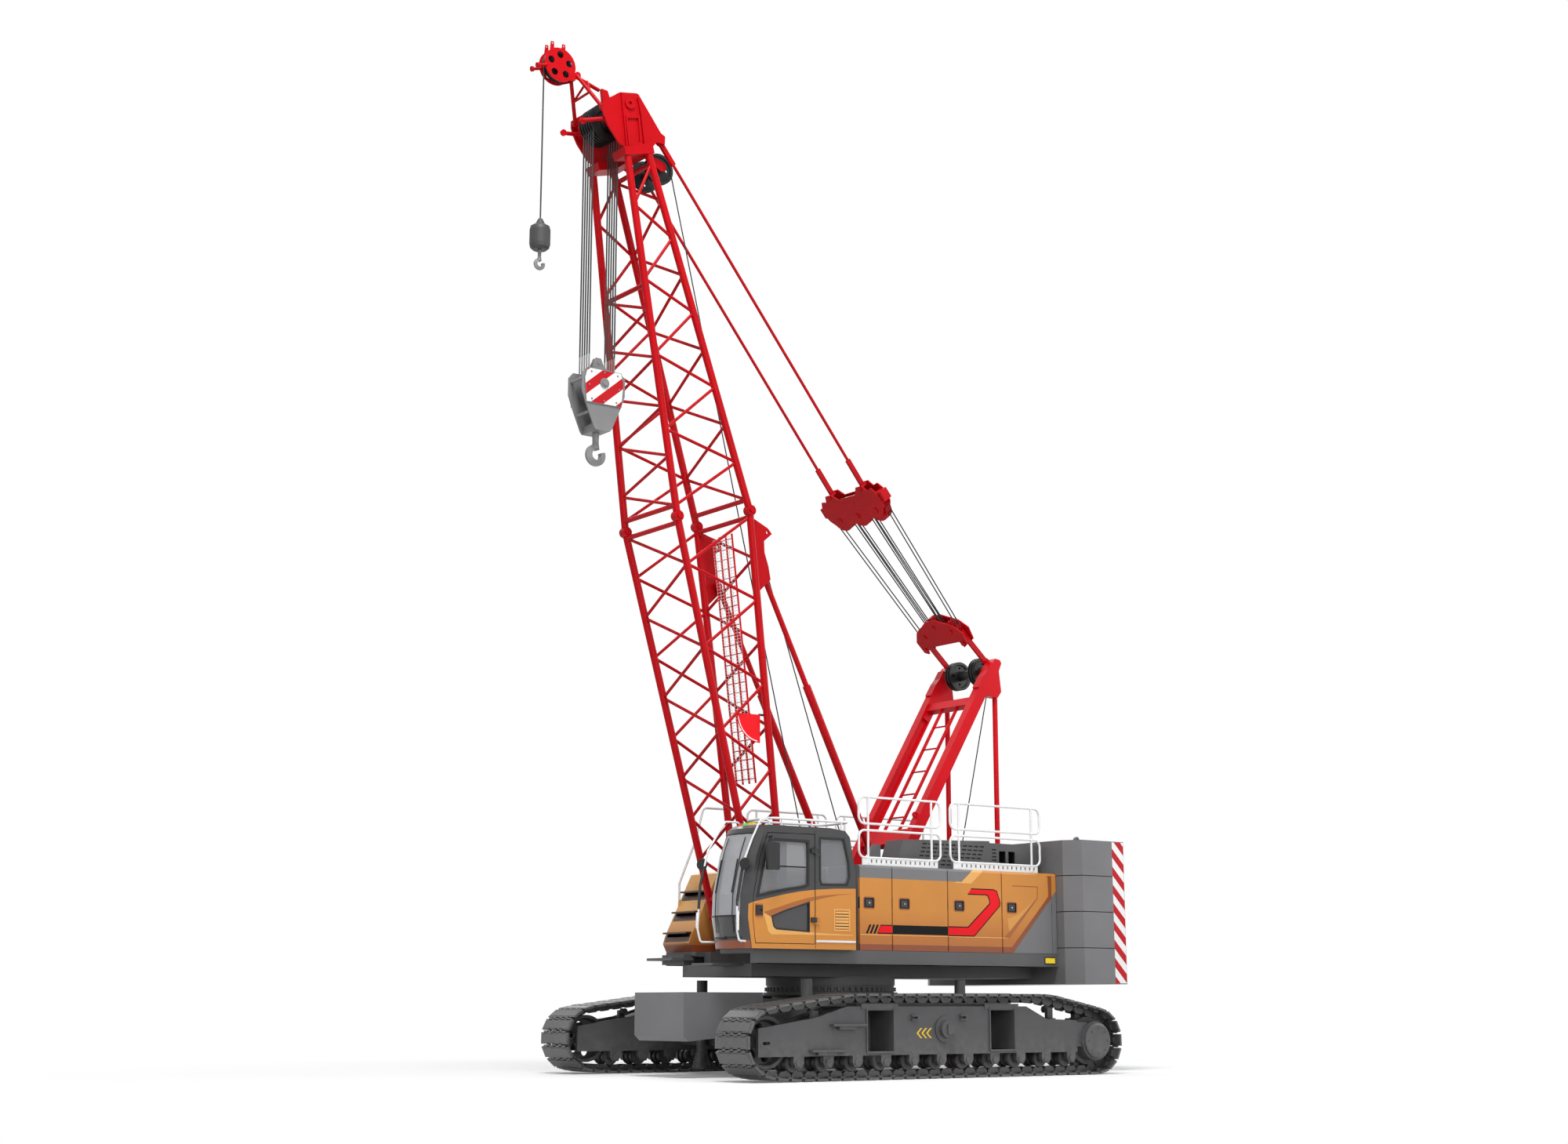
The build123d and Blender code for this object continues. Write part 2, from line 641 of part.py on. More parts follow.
def stair_housing():
    """Sloped stair housing in front of the right machine house, with step pockets, treads and a rail."""
    y_out, y_in = -1490, -760
    outline = [(HOUSE_FRONT, DECK_TOP), (HOUSE_FRONT, 3080), (1480, 3080), (1610, 3040), (2090, 2080),
               (2130, 1960), (2060, DECK_TOP)]
    body = plate_xz(outline, y_out, y_in)
    treads = []
    for x, z in STEP_TREADS:
        pocket = [(x - 200, z), (x + 60, z), (x + 20, z - 140), (x - 200, z - 140)]
        body = body.cut(plate_xz(pocket, y_out + 60, y_in - 60))
        treads.append(box(x - 262, x + 115, y_out + 40, y_in - 40, z, z + 26))
    rail = bent_tube([(1850, y_out + 25, 2560), (1850, y_out + 25, 2900), (1560, y_out + 25, 3560),
                      (1400, y_out + 25, 4110), (700, y_out + 25, 4110), (700, y_out + 25, HOUSE_TOP - 30)],
                     90, RAIL_TUBE)
    return fuse([body, rail] + treads)


def rail_loop(x0, x1, y, z0, z1):
    """Closed guard rail loop with rounded corners."""
    corners = [(x0, y, z0), (x0, y, z1), (x1, y, z1), (x1, y, z0)]
    return bent_tube(corners, RAIL_BEND, RAIL_TUBE, True)


def handrails(side):
    """Guard rails along the outer edge of one walkway: two rounded loops a bay on a slotted toe board."""
    y = DECK_HALF - 60
    pieces = []
    for x0, x1 in RAIL_BAYS:
        board = box(x1 + 60, x0 - 60, y - 8, y + 8, HOUSE_TOP, HOUSE_TOP + 110)
        count = round((x0 - x1 - 240) / 95)
        slots = [box(x1 + 120 + 95 * i, x1 + 150 + 95 * i, y - 20, y + 20, HOUSE_TOP + 35, HOUSE_TOP + 85)
                 for i in range(count)]
        pieces.append(board.cut(*slots))
        pieces.append(rail_loop(x0, x1, y, HOUSE_TOP + 110, 3620))
        pieces.append(rail_loop(x0, x1, y, 3720, 4120))
        for x in (x0 - 180, x1 + 180):
            pieces.append(rod((x, y, HOUSE_TOP + 20), (x, y, 4120), RAIL_TUBE))
    shape = fuse(pieces)
    return shape if side > 0 else mirror_y(shape)


def counterweight():
    """Stack of slabs with open seams, chamfered corners and lifting lugs, joined at the core."""
    height = (CW_TOP - CW_BOTTOM) / CW_SLABS
    outline = [(DECK_REAR, -CW_HALF + 260), (DECK_REAR, CW_HALF - 260), (DECK_REAR - 180, CW_HALF),
               (CW_REAR + 60, CW_HALF), (CW_REAR, CW_HALF - 60), (CW_REAR, -CW_HALF + 60),
               (CW_REAR + 60, -CW_HALF), (DECK_REAR - 180, -CW_HALF)]
    slabs = [plate_xy(outline, CW_BOTTOM + i * height, CW_BOTTOM + (i + 1) * height - CW_SEAM)
             for i in range(CW_SLABS)]
    core = box(CW_REAR + 80, DECK_REAR - 200, -CW_HALF + 80, CW_HALF - 80, CW_BOTTOM, CW_TOP - CW_SEAM)
    lugs = [turned((-3900, CW_TOP + 20), y, [(-20, 22), (-20, 50), (20, 50), (20, 22)])
            for y in (-1500, 1500)]
    return fuse(slabs + [core] + lugs)


def gantry():
    """A-frame: box legs, cross beams, ladder, eyes, rear struts and head plates."""
    pieces = []
    head_plate = [(-2574, 6150), (-2700, 6350), (-2841, 6514), (-2960, 6655), (-3060, 6640), (-3095, 6590),
                  (-3035, 6450), (-3080, 6110), (-3000, 6005), (-2777, 6013)]
    for s in (-1, 1):
        y0, y1 = s * (GANTRY_Y - LEG_HALF), s * (GANTRY_Y + LEG_HALF)
        leg = bar_xz(GANTRY_FOOT, GANTRY_HEAD, LEG_DEPTH, y0, y1)
        pocket = bar_xz(along(GANTRY_FOOT, GANTRY_HEAD, 0.40), along(GANTRY_FOOT, GANTRY_HEAD, 0.82),
                        LEG_DEPTH - 50, s * (GANTRY_Y - LEG_HALF - 5), s * (GANTRY_Y - LEG_HALF + 40))
        pieces.append(leg.cut(pocket))
        pieces.append(disc(GANTRY_FOOT, 100, y0, y1))
        pieces.append(rod((STRUT_X, s * GANTRY_Y, 1960), (STRUT_X, s * GANTRY_Y, 6130), 42))
        pieces.append(plate_xz(head_plate, y0, y1))
        for t in EYE_PLACES:
            x, z = along(GANTRY_FOOT, GANTRY_HEAD, t)
            eye = turned((x + 95, z + 90), s * GANTRY_Y, [(-14, 22), (-14, 48), (14, 48), (14, 22)])
            pieces.append(eye)
    for t, depth in BEAM_PLACES:
        reach = depth / 2 / math.dist(GANTRY_FOOT, GANTRY_HEAD)
        low, high = along(GANTRY_FOOT, GANTRY_HEAD, t - reach), along(GANTRY_FOOT, GANTRY_HEAD, t + reach)
        pieces.append(bar_xz(low, high, 120, -GANTRY_Y, GANTRY_Y))
    for s in (-1, 1):
        pieces.append(bar_xz(along(GANTRY_FOOT, GANTRY_HEAD, 0.36), along(GANTRY_FOOT, GANTRY_HEAD, 0.86),
                             50, s * LADDER_Y - 12, s * LADDER_Y + 12))
    for i in range(5):
        x, z = along(GANTRY_FOOT, GANTRY_HEAD, 0.44 + 0.085 * i)
        pieces.append(rod((x, -LADDER_Y, z), (x, LADDER_Y, z), 14))
    pieces.append(rod((-2980, -GANTRY_Y, 6470), (-2980, GANTRY_Y, 6470), 45))
    for s in (-1, 1):
        pieces.append(disc(BAIL_PIN, 30, s * (BAIL_LINK_Y - 25), s * (GANTRY_Y - 70)))
    return fuse(pieces)


def sheave(centre, radius, y, bore, depth=GROOVE_DEPTH):
    """One rope sheave: hub, web with holes, rim and groove, on a bore."""
    half, web, hub = SHEAVE_WIDTH / 2, 9, bore + 34
    bottom = radius - depth
    inner = bottom - 16
    right = [(GROOVE_HALF, bottom), (GROOVE_HALF + 8, radius), (half, radius), (half, inner),
             (web, inner - 12), (web, hub + 8), (half, hub), (half, bore)]
    left = [(-offset, r) for offset, r in reversed(right)]
    body = turned(centre, y, left + right)
    middle = (hub + inner) / 2
    if inner - hub < 70:
        return body
    holes = []
    for i in range(SHEAVE_HOLES):
        turn = 2 * math.pi * i / SHEAVE_HOLES
        place = (centre[0] + middle * math.cos(turn), centre[1] + middle * math.sin(turn))
        holes.append(disc(place, 20, y - half, y + half))
    return body.cut(*holes)


BOLT_PLACES = [(x, z) for x, z in ((230, 150), (0, 165), (-230, 150), (265, -60), (-265, -60), (215, -270),
                                   (0, -280), (-215, -270))]


def sheave_stack(centre, radius, places, bore, hub, depth=GROOVE_DEPTH):
    """Sheaves on one hub tube, turning as one piece."""
    pieces = [sheave(centre, radius, y, bore, depth) for y in places]
    tube = disc(centre, hub, min(places) - SHEAVE_WIDTH / 2, max(places) + SHEAVE_WIDTH / 2)
    tube = tube.cut(disc(centre, bore, min(places) - SHEAVE_WIDTH, max(places) + SHEAVE_WIDTH))
    return fuse(pieces + [tube])


def gantry_sheaves():
    """Two pairs of luffing rope sheaves in the gantry head."""
    return sheave_stack((-2980, 6470), 240, (-320, -255, 255, 320), 46, 80)


def drum(name):
    """Winch drum with its two flanges and shaft ends."""
    centre = DRUMS[name]
    barrel = disc(centre, DRUM_R, -DRUM_HALF, DRUM_HALF)
    flanges = [disc(centre, FLANGE_R, y0, y0 + 30) for y0 in (-DRUM_HALF, DRUM_HALF - 30)]
    shaft = disc(centre, DRUM_SHAFT_R, -DRUM_HALF - 65, DRUM_HALF + 65)
    return fuse([barrel, shaft] + flanges)


# ---- Cab ----
def cab_profile(bulge, inset):
    """Side outline of the cab at one section, drawn in all round by an inset."""
    rear, low, high = CAB_REAR + inset, DECK_TOP + inset, CAB_TOP - inset
    nose = bulge - inset
    return [(rear, low), (rear, 2940), (865 + inset, 3480 - inset), (954 + inset, high - 30), (1219, high),
            (2340 + nose, high), (2430 + nose, high - 50), (2576 + nose, 3156), (2699 + nose, 2594),
            (2711 + nose, 2261), (2641 + nose, low)]


def cab_body(inset):
    """Cab volume: flat sides, and a front that bulges forward towards the middle."""
    wires = []
    for y, bulge in CAB_SECTIONS:
        if y in (CAB_IN, CAB_OUT):
            y += inset if y == CAB_IN else -inset
        points = [(x, y, z) for x, z in cab_profile(bulge, inset)]
        wires.append(Wire.make_polygon(points, close=True))
    return fuse([Solid.make_loft(wires[:2], True), Solid.make_loft(wires[1:4]),
                 Solid.make_loft(wires[3:], True)])


def cab_shell():
    """Cab walls, roof and pillars around an open inside."""
    shell = cab_body(0).cut(cab_body(CAB_WALL))
    door_hole = plate_xz(DOOR_HOLE, CAB_OUT - CAB_WALL - 20, CAB_OUT + 20)
    rear_side = plate_xz(REAR_SIDE_WINDOW, CAB_IN - 20, CAB_OUT + 20)
    right = plate_xz(RIGHT_WINDOW, CAB_IN - 20, CAB_IN + CAB_WALL + 10)
    rear = box(CAB_REAR - 20, CAB_REAR + 80, CAB_IN + 120, CAB_OUT - 120, 2700, 3350)
    louvres = [box(895, 1150, CAB_OUT - 12, CAB_OUT + 10, z, z + 18) for z in range(2130, 2400, 34)]
    shell = shell.cut(door_hole, rear_side, right, box(*SCREEN_BOX), rear, *louvres)
    x, y = DOOR_HINGE
    pieces = [shell]
    for z in DOOR_HINGE_ZS:
        pieces.append(disc_z(x, y, 10, z - 60, z + 60))
        for z0 in (z - 60, z + 36):
            pieces.append(box(x - 70, x - 8, CAB_OUT - 10, y + 12, z0, z0 + 24))
            pieces.append(box(x - 10, x + 12, CAB_OUT + 6, y + 12, z0, z0 + 24))
    return fuse(pieces)


REAR_SIDE_WINDOW = [(930, 2784), (884, 2901), (898, 3108), (984, 3440), (1420, 3440), (1420, 2836),
                    (1398, 2775)]
RIGHT_WINDOW = [(1560, 2720), (1560, 3420), (2340, 3420), (2450, 3049), (2560, 2620)]
DOOR_HOLE = [(1520, 1900), (1520, 3500), (2378, 3490), (2510, 3154), (2632, 2596), (2644, 2266), (2596, 1900)]
DOOR_LEAF = [(1530, 1910), (1530, 3490), (2370, 3480), (2499, 3152), (2621, 2594), (2633, 2267), (2586, 1910)]
DOOR_WINDOW = [(1657, 2761), (1656, 3376), (2325, 3380), (2436, 3049), (2545, 2598), (2519, 2588),
               (2296, 2639), (2014, 2693), (1729, 2736)]
LOW_WINDOW = [(1631, 2084), (1629, 2501), (1872, 2427), (2085, 2365), (2300, 2282), (2267, 2149),
              (2225, 2117)]


def cab_door():
    """Left door, hinged at its rear edge, with two windows and a mirror on its arm."""
    door = plate_xz(DOOR_LEAF, CAB_OUT - CAB_WALL + 8, CAB_OUT)
    windows = [plate_xz(outline, CAB_OUT - 80, CAB_OUT + 10) for outline in (DOOR_WINDOW, LOW_WINDOW)]
    latch = box(2476, 2588, CAB_OUT - 5, CAB_OUT + 22, 2300, 2440)
    grip = box(2490, 2574, CAB_OUT + 8, CAB_OUT + 30, 2350, 2390)
    arm = bent_tube([(2352, CAB_OUT - 5, 3425), (2352, 1700, 3425), (2395, 1762, 3400), (2395, 1762, 3100)],
                    25, 10)
    head = box(2290, 2500, 1735, 1790, 2940, 3335)
    head = head.fillet(24, head.edges().filter_by(Axis.Y))
    x, y = DOOR_HINGE
    pieces = [door.cut(*windows), latch.cut(grip), arm, head]
    for z in DOOR_HINGE_ZS:
        pieces.append(box(x, x + 80, CAB_OUT - 10, y + 8, z - 35, z + 35))
        pieces.append(disc_z(x, y, 20, z - 35, z + 35))
    bores = [disc_z(x, y, 10 + PIN_GAP, z - 40, z + 40) for z in DOOR_HINGE_ZS]
    return fuse(pieces).cut(*bores)


def cab_glass():
    """Fixed panes of the cab, each filling its opening."""
    screen = cab_body(0).cut(cab_body(PANE)).intersect(box(*SCREEN_BOX))
    left = plate_xz(REAR_SIDE_WINDOW, CAB_OUT - 30, CAB_OUT - 30 + PANE)
    inner = plate_xz(REAR_SIDE_WINDOW, CAB_IN + 22, CAB_IN + 22 + PANE)
    right = plate_xz(RIGHT_WINDOW, CAB_IN + 22, CAB_IN + 22 + PANE)
    rear = box(CAB_REAR + 20, CAB_REAR + 20 + PANE, CAB_IN + 120, CAB_OUT - 120, 2700, 3350)
    return group([screen, left, inner, right, rear])


def cab_interior():
    """Operator's seat on its plinth."""
    plinth = box(1250, 1650, 970, 1370, DECK_TOP + CAB_WALL, 2200)
    cushion = box(1220, 1720, 930, 1410, 2200, 2330)
    back = plate_xz([(1220, 2330), (1100, 3050), (1200, 3050), (1330, 2330)], 950, 1390)
    return fuse([plinth, cushion, back])


def cab_rails():
    """Roof guard and the two grab rails that run down in front of the windscreen."""
    top = 3710
    guard = bent_tube([(790, 830, top), (790, 1510, top), (2230, 1510, top), (2230, 830, top)], 120,
                      RAIL_TUBE, True)
    posts = [rod((x, y, CAB_TOP - 60), (x, y, top), 14) for x in (950, 1500, 2050) for y in (830, 1510)]
    grabs = []
    inner = [(2563, 3683), (2867, 3245), (3001, 2730), (3040, 2111), (2990, 1930), (2700, 1930)]
    outer = [(2456, 3675), (2609, 3385), (2760, 3043), (2867, 2482), (2865, 2073), (2830, 1930), (2640, 1930)]
    for y, path in ((800, inner), (1540, outer)):
        points = [(2300, y, 3500), (2300, y, 3683)] + [(x, y, z) for x, z in path]
        grabs.append(bent_tube(points, 55, 15))
    body = cab_body(0)
    return [fuse([guard] + posts).cut(body)] + [grab.cut(body) for grab in grabs]


# ---- Boom ----
def chord(kind, section, y_sign):
    """End points of one chord: (lower, upper)."""
    if section == "base":
        lower = {"front": (1790, 2330), "rear": (1325, 2330)}[kind]
        upper = {"front": FRONT_PIN, "rear": REAR_PIN}[kind]
        return at_y(lower, y_sign * FOOT_HALF), at_y(upper, y_sign * PIN_HALF)
    lower = {"front": FRONT_PIN, "rear": REAR_PIN}[kind]
    upper = {"front": FRONT_END, "rear": REAR_END}[kind]
    return at_y(lower, y_sign * PIN_HALF), at_y(upper, y_sign * HEAD_HALF)


def lattice(section, bays, start, end, front_end):
    """Four chords with zigzag lacing on the four faces; the front face may stop short."""
    chords = {(kind, s): chord(kind, section, s) for kind in ("front", "rear") for s in (-1, 1)}
    pieces = [rod(a, b, CHORD_R) for a, b in chords.values()]
    faces = [(("front", 1), ("rear", 1)), (("front", -1), ("rear", -1)),
             (("front", 1), ("front", -1)), (("rear", 1), ("rear", -1))]
    for one, two in faces:
        last = front_end if one[0] == two[0] == "front" else end
        for i in range(bays):
            t0 = start + (last - start) * i / bays
            t1 = start + (last - start) * (i + 1) / bays
            a, b = (one, two) if i % 2 == 0 else (two, one)
            pieces.append(rod(along(*chords[a], t0), along(*chords[b], t1), LACE_R))
    return pieces, chords


def boom_base():
    """Lower boom section with its feet, back-stop brackets and pin lugs."""
    pieces, chords = lattice("base", 9, 0.05, 0.985, 0.985)
    bracket = [(1930, 7180), (2060, 8350), (1965, 8352), (1711, 8240), (1636, 8160), (1786, 8031),
               (1775, 7850), (1700, 7640), (1660, 7440)]
    for s in (-1, 1):
        foot_y = s * FOOT_HALF
        shape = [(1325 - 60, 2330), (1360, 2440), (1760, 2440), (1790 + 60, 2330), (FOOT[0] + 110, FOOT[1]),
                 (FOOT[0] - 110, FOOT[1])]
        eye = disc(FOOT, 110, foot_y - 38, foot_y + 38)
        bore = disc(FOOT, FOOT_PIN_R + PIN_GAP, foot_y - 60, foot_y + 60)
        pieces.append(fuse([plate_xz(shape, foot_y - 38, foot_y + 38), eye]).cut(bore))
        pieces.append(plate_xz(bracket, s * 652, s * 692).cut(disc((1720, 8175), 26, s * 640, s * 700)))
        for point in (FRONT_PIN, REAR_PIN):
            pieces.append(disc(point, 80, s * PIN_HALF - 60, s * PIN_HALF + 60))
            pieces.append(disc(point, 36, s * PIN_HALF - 78, s * PIN_HALF + 78))
    for kind in ("front", "rear"):
        for t in (0.05, 0.985):
            a, b = along(*chords[(kind, 1)], t), along(*chords[(kind, -1)], t)
            pieces.append(rod(a, b, CROSS_R))
    return fuse(pieces)


def boom_top():
    """Upper boom section up to the head."""
    pieces, chords = lattice("top", 9, 0.03, 0.97, OPEN_FRONT)
    for kind, t in (("front", 0.03), ("front", OPEN_FRONT), ("rear", 0.03), ("rear", 0.97)):
        a, b = along(*chords[(kind, 1)], t), along(*chords[(kind, -1)], t)
        pieces.append(rod(a, b, CROSS_R))
    body = fuse(pieces)
    bosses = [disc(point, 81, s * PIN_HALF - 61, s * PIN_HALF + 61)
              for point in (FRONT_PIN, REAR_PIN) for s in (-1, 1)]
    return body.cut(*bosses)


def boom_head():
    """Head plates with their ribs, end frame, guard bars, and brackets of the jib and pendants."""
    outline = [(4190, 13879), (4391, 13982), (4578, 14203), (4651, 14337), (4690, 14450), (4690, 14560),
               (4598, 14640), (4460, 14740), (4377, 14800), (4077, 14860), (4040, 14850), (3621, 14320),
               (3540, 14280), (3545, 14150), (3692, 14150), (3805, 14012)]
    window = [(4250, 14400), (4055, 14450), (4012, 14068), (4195, 14010)]
    pieces = []
    for s in (-1, 1):
        y0, y1 = s * HEAD_PLATE_Y, s * (HEAD_PLATE_Y + 30)
        pieces.append(plate_xz(outline, y0, y1))
        pieces.append(plate_xz(HEAD_FRAME, y1, y1 + s * 26).cut(plate_xz(window, y1 - s, y1 + s * 30)))
        for rib in HEAD_RIBS:
            for low, high in zip(rib, rib[1:]):
                pieces.append(bar_xz(low, high, 24, y1 - s * 4, y1 + s * 34))
            pieces.append(disc(rib[1], 12, y1 - s * 4, y1 + s * 34))
        pieces.append(turned((4203, 14658), y1 + s * 12, [(-14, 30), (-14, 90), (14, 90), (14, 30)]))
        root, tip = (4560, s * (HEAD_PLATE_Y - 40), 14350), (4937, s * 300, 14253)
        pieces.append(rod(root, tip, 32))
        pieces.append(disc((4548, 14353), 60, s * (HEAD_PLATE_Y - 70), s * (HEAD_PLATE_Y + 2)))
        pieces.append(disc((4920, 14257), 50, s * 270, s * 310))
    frame = [(REAR_END[0] - 80, REAR_END[1]), (REAR_END[0] - 40, REAR_END[1] + 160),
             (FRONT_END[0] + 100, FRONT_END[1] + 130), (FRONT_END[0] + 70, FRONT_END[1])]
    slot = box(HOOK_X - 400, FRONT_END[0] + 300, -FALL_ROOM, FALL_ROOM, 13500, 14300)
    pieces.append(plate_xz(frame, -HEAD_HALF - 60, HEAD_HALF + 60).cut(slot))
    pieces.append(plate_xz([(4046, 14860), (4400, 14790), (4390, 14750), (4046, 14820)],
                           -HEAD_PLATE_Y, HEAD_PLATE_Y))
    pieces.append(plate_xz([(4046, 14860), (3760, 14540), (3790, 14510), (4076, 14830)],
                           -HEAD_PLATE_Y, HEAD_PLATE_Y))
    pieces.append(disc(HEAD_AXLE, 59, -HEAD_PLATE_Y - 30, HEAD_PLATE_Y + 30))
    pieces.append(plate_xz([(4250, 14790), (4330, 14990), (4440, 15000), (4410, 14770)], -30, 30))
    for s in (-1, 1):
        arm = [(3900, 14060), (3420, 13900), (3420, 13800), (3500, 13770), (3900, 13960)]
        pieces.append(plate_xz(arm, s * 300 - 12, s * 300 + 12))
    pieces.append(disc((3480, 13840), 35, -312, 312))
    for s in (-1, 1):
        pieces.append(disc(PENDANT_TOP, 30, s * (PENDANT_Y - 35), s * (HEAD_PLATE_Y + 5)))
        pieces.append(disc(JIB_FOOT, 25, s * (JIB_FOOT_Y - 35), s * (HEAD_PLATE_Y + 5)))
    ends = [rod(*chord(kind, "top", s), CHORD_R + 0.3) for kind in ("front", "rear") for s in (-1, 1)]
    return fuse(pieces).cut(*ends)


def aux_jib():
    """Tripod runner at the boom tip: two legs, a mid tube and round windowed cheeks."""
    tip = (4925, 15060)
    pieces = []
    for s in (-1, 1):
        foot = at_y(JIB_FOOT, s * JIB_FOOT_Y)
        leg = fuse([rod(foot, (tip[0], s * 90, tip[1]), 30), disc(JIB_FOOT, 50, foot[1] - 25, foot[1] + 25)])
        pieces.append(leg.cut(disc(JIB_FOOT, 25 + PIN_GAP, foot[1] - 40, foot[1] + 40)))
        pieces.append(jib_cheek(s * 85 - 8, s * 85 + 8))
        pieces.append(rod((4780, s * 250, 14780), (4690, 0, 15060), 18))
        stub = (JIB_AXLE[0] + 230, s * 85, JIB_AXLE[1] - 60)
        end = (JIB_AXLE[0] + 390, s * 85, JIB_AXLE[1] - 110)
        pieces.append(rod(stub, end, 24))
        pieces.append(rod(along(stub, end, 0.92), along(stub, end, 1.1), 42))
    pieces.append(rod((4470, 0, 14970), (tip[0], 0, tip[1] + 30), 30))
    pieces.append(rod((4780, -260, 14780), (4780, 260, 14780), 20))
    pieces.append(disc((tip[0] - 20, tip[1] + 20), 50, -90, 90))
    pieces.append(disc(JIB_AXLE, 39, -93, 93))
    return fuse(pieces)


def jib_cheek(y0, y1):
    """Round cheek with five windows, two lugs on top and an arm back to the tripod."""
    x, z = JIB_AXLE
    arm = [(4925, 15000), (5060, 15300), (x, z + 200), (x, z - 268), (5100, 14925)]
    lugs = [plate_xz([(x + a, z + 180), (x + a + 10, z + 345), (x + a + 60, z + 345), (x + a + 75, z + 180)],
                     y0, y1) for a in (-90, 110)]
    windows = [disc((x + 165 * math.cos(turn), z + 165 * math.sin(turn)), 56, y0 - 5, y1 + 5)
               for turn in [0.3 + 2 * math.pi * i / 5 for i in range(5)]]
    holes = [disc((x + a, z + 318), 14, y0 - 5, y1 + 5) for a in (-55, 145)]
    return fuse([disc(JIB_AXLE, 272, y0, y1), plate_xz(arm, y0, y1)] + lugs).cut(*windows, *holes)


def boom_walkway():
    """Open ladder that lies on the rear lacing of the lower boom section."""
    start, end = chord("rear", "base", 1)
    lift = LACE_R + WALKWAY_THICK / 2 + 0.4
    (x0, _, z0), (x1, _, z1) = along(start, end, 0.33), along(start, end, 0.955)
    low, high = (x0 + lift, z0), (x1 + lift, z1)
    pieces = [bar_xz(low, high, WALKWAY_THICK, y - 6, y + 6) for y in WALKWAY_YS]
    for i in range(WALKWAY_RUNGS):
        x, z = along(low, high, (i + 0.5) / WALKWAY_RUNGS)
        pieces.append(rod((x, WALKWAY_YS[0], z), (x, WALKWAY_YS[-1], z), 8))
    return fuse(pieces)


def stop_tubes():
    """Outer tubes of the back-stops, pivoted above the machine houses."""
    pieces = []
    for s in (-1, 1):
        start, end = at_y(STOP_SEAT, s * STOP_Y), at_y(STOP_PIN, s * STOP_Y)
        mouth = along(start, end, 0.60)
        body = rod(start, mouth, 62)
        bore = rod(along(start, end, 0.04), along(start, end, 0.57), STOP_ROD_R + 8)
        guide = rod(along(start, end, 0.05), along(start, end, 0.61), STOP_ROD_R + PIN_GAP)
        eye = disc(STOP_SEAT, 75, s * STOP_Y - 60, s * STOP_Y + 60)
        pin = disc(STOP_SEAT, 30 + PIN_GAP, s * STOP_Y - 70, s * STOP_Y + 70)
        pieces.append(fuse([body.cut(bore, guide), eye]).cut(pin))
    return group(pieces)


def stop_rods():
    """Rods of the back-stops, with the eye at the boom."""
    pieces = []
    for s in (-1, 1):
        start, end = at_y(STOP_SEAT, s * STOP_Y), at_y(STOP_PIN, s * STOP_Y)
        body = rod(along(start, end, 0.12), end, STOP_ROD_R)
        eye = disc(STOP_PIN, 60, s * STOP_Y - 30, s * STOP_Y + 30)
        pieces.append(fuse([body, eye]))
    return group(pieces)


def pendants():
    """Boom pendants with their end links and the upper spreader."""
    pieces = []
    length = math.dist(PENDANT_TOP, SPREADER)
    for s in (-1, 1):
        start, end = at_y(PENDANT_TOP, s * PENDANT_Y), at_y(SPREADER, s * PENDANT_Y)
        eye = disc(PENDANT_TOP, 65, s * PENDANT_Y - 25, s * PENDANT_Y + 25)
        bore = disc(PENDANT_TOP, 30 + PIN_GAP, s * PENDANT_Y - 40, s * PENDANT_Y + 40)
        links = []
        for t0, t1 in ((0.0, LINK_LENGTH / length), (1 - 1.2 * LINK_LENGTH / length, 1.0)):
            a, b = along(PENDANT_TOP, SPREADER, t0), along(PENDANT_TOP, SPREADER, t1)
            links.append(bar_xz(a, b, 76, s * PENDANT_Y - 25, s * PENDANT_Y + 25))
        pieces.append(fuse([rod(start, end, 24), eye] + links).cut(bore))
    outline = both([(230, 70), (330, -47), (470, -47), (530, 60), (640, 40), (720, 165), (720, 335),
                    (690, 405), (560, 563), (220, 539), (100, 568)])
    for near in (-PLATE_OFF - PLATE_THICK, PLATE_OFF):
        pieces.append(slanted(SPREADER, ROPE_RUN, outline, near, near + PLATE_THICK))
    for s in (-1, 1):
        lug = [(s * 660, 140), (s * 790, 150), (s * 790, 330), (s * 660, 340)]
        pieces.append(slanted(SPREADER, ROPE_RUN, lug, -PLATE_OFF - 4, PLATE_OFF + 4))
    pieces += flat_sheaves(SPREADER, ROPE_RUN, SPREADER_PINS, 215)
    pieces += plate_pins(SPREADER, ROPE_RUN, SPREADER_PINS + [(-PENDANT_Y, 0), (PENDANT_Y, 0)], 34)
    return fuse(pieces)


def flat_sheaves(origin, run, places, radius):
    """Pairs of sheaves side by side between spreader plates; places are (y, distance along the run)."""
    pieces = []
    profile = [(-26, 30), (-26, radius), (-14, radius), (-8, radius - 24), (8, radius - 24), (14, radius),
               (26, radius), (26, 30)]
    for y, distance in places:
        centre, axis = on_run(origin, run, y, distance)
        for lane in (-34, 34):
            points = [centre + axis * (lane + offset) + Vector(0, r, 0) for offset, r in profile]
            face = Face(Wire.make_polygon(points, close=True))
            pieces.append(Solid.revolve(face, 360, Axis(centre, axis)))
    return pieces


def plate_pins(origin, run, places, radius):
    """Pins across both spreader plates, with their heads."""
    pieces = []
    reach = PLATE_OFF + PLATE_THICK + 16
    for y, distance in places:
        centre, axis = on_run(origin, run, y, distance)
        pieces.append(rod(tuple(centre - axis * reach), tuple(centre + axis * reach), radius))
        head = tuple(centre + axis * (reach - 16)), tuple(centre + axis * (reach - 4))
        pieces.append(rod(*head, radius + 16))
    return pieces


def on_run(origin, run, y, distance):
    """Point at a distance along a slanted run, and the direction across the run."""
    length = math.hypot(*run)
    run_x, run_z = run[0] / length, run[1] / length
    return Vector(origin[0] + distance * run_x, y, origin[1] + distance * run_z), Vector(-run_z, 0, run_x)


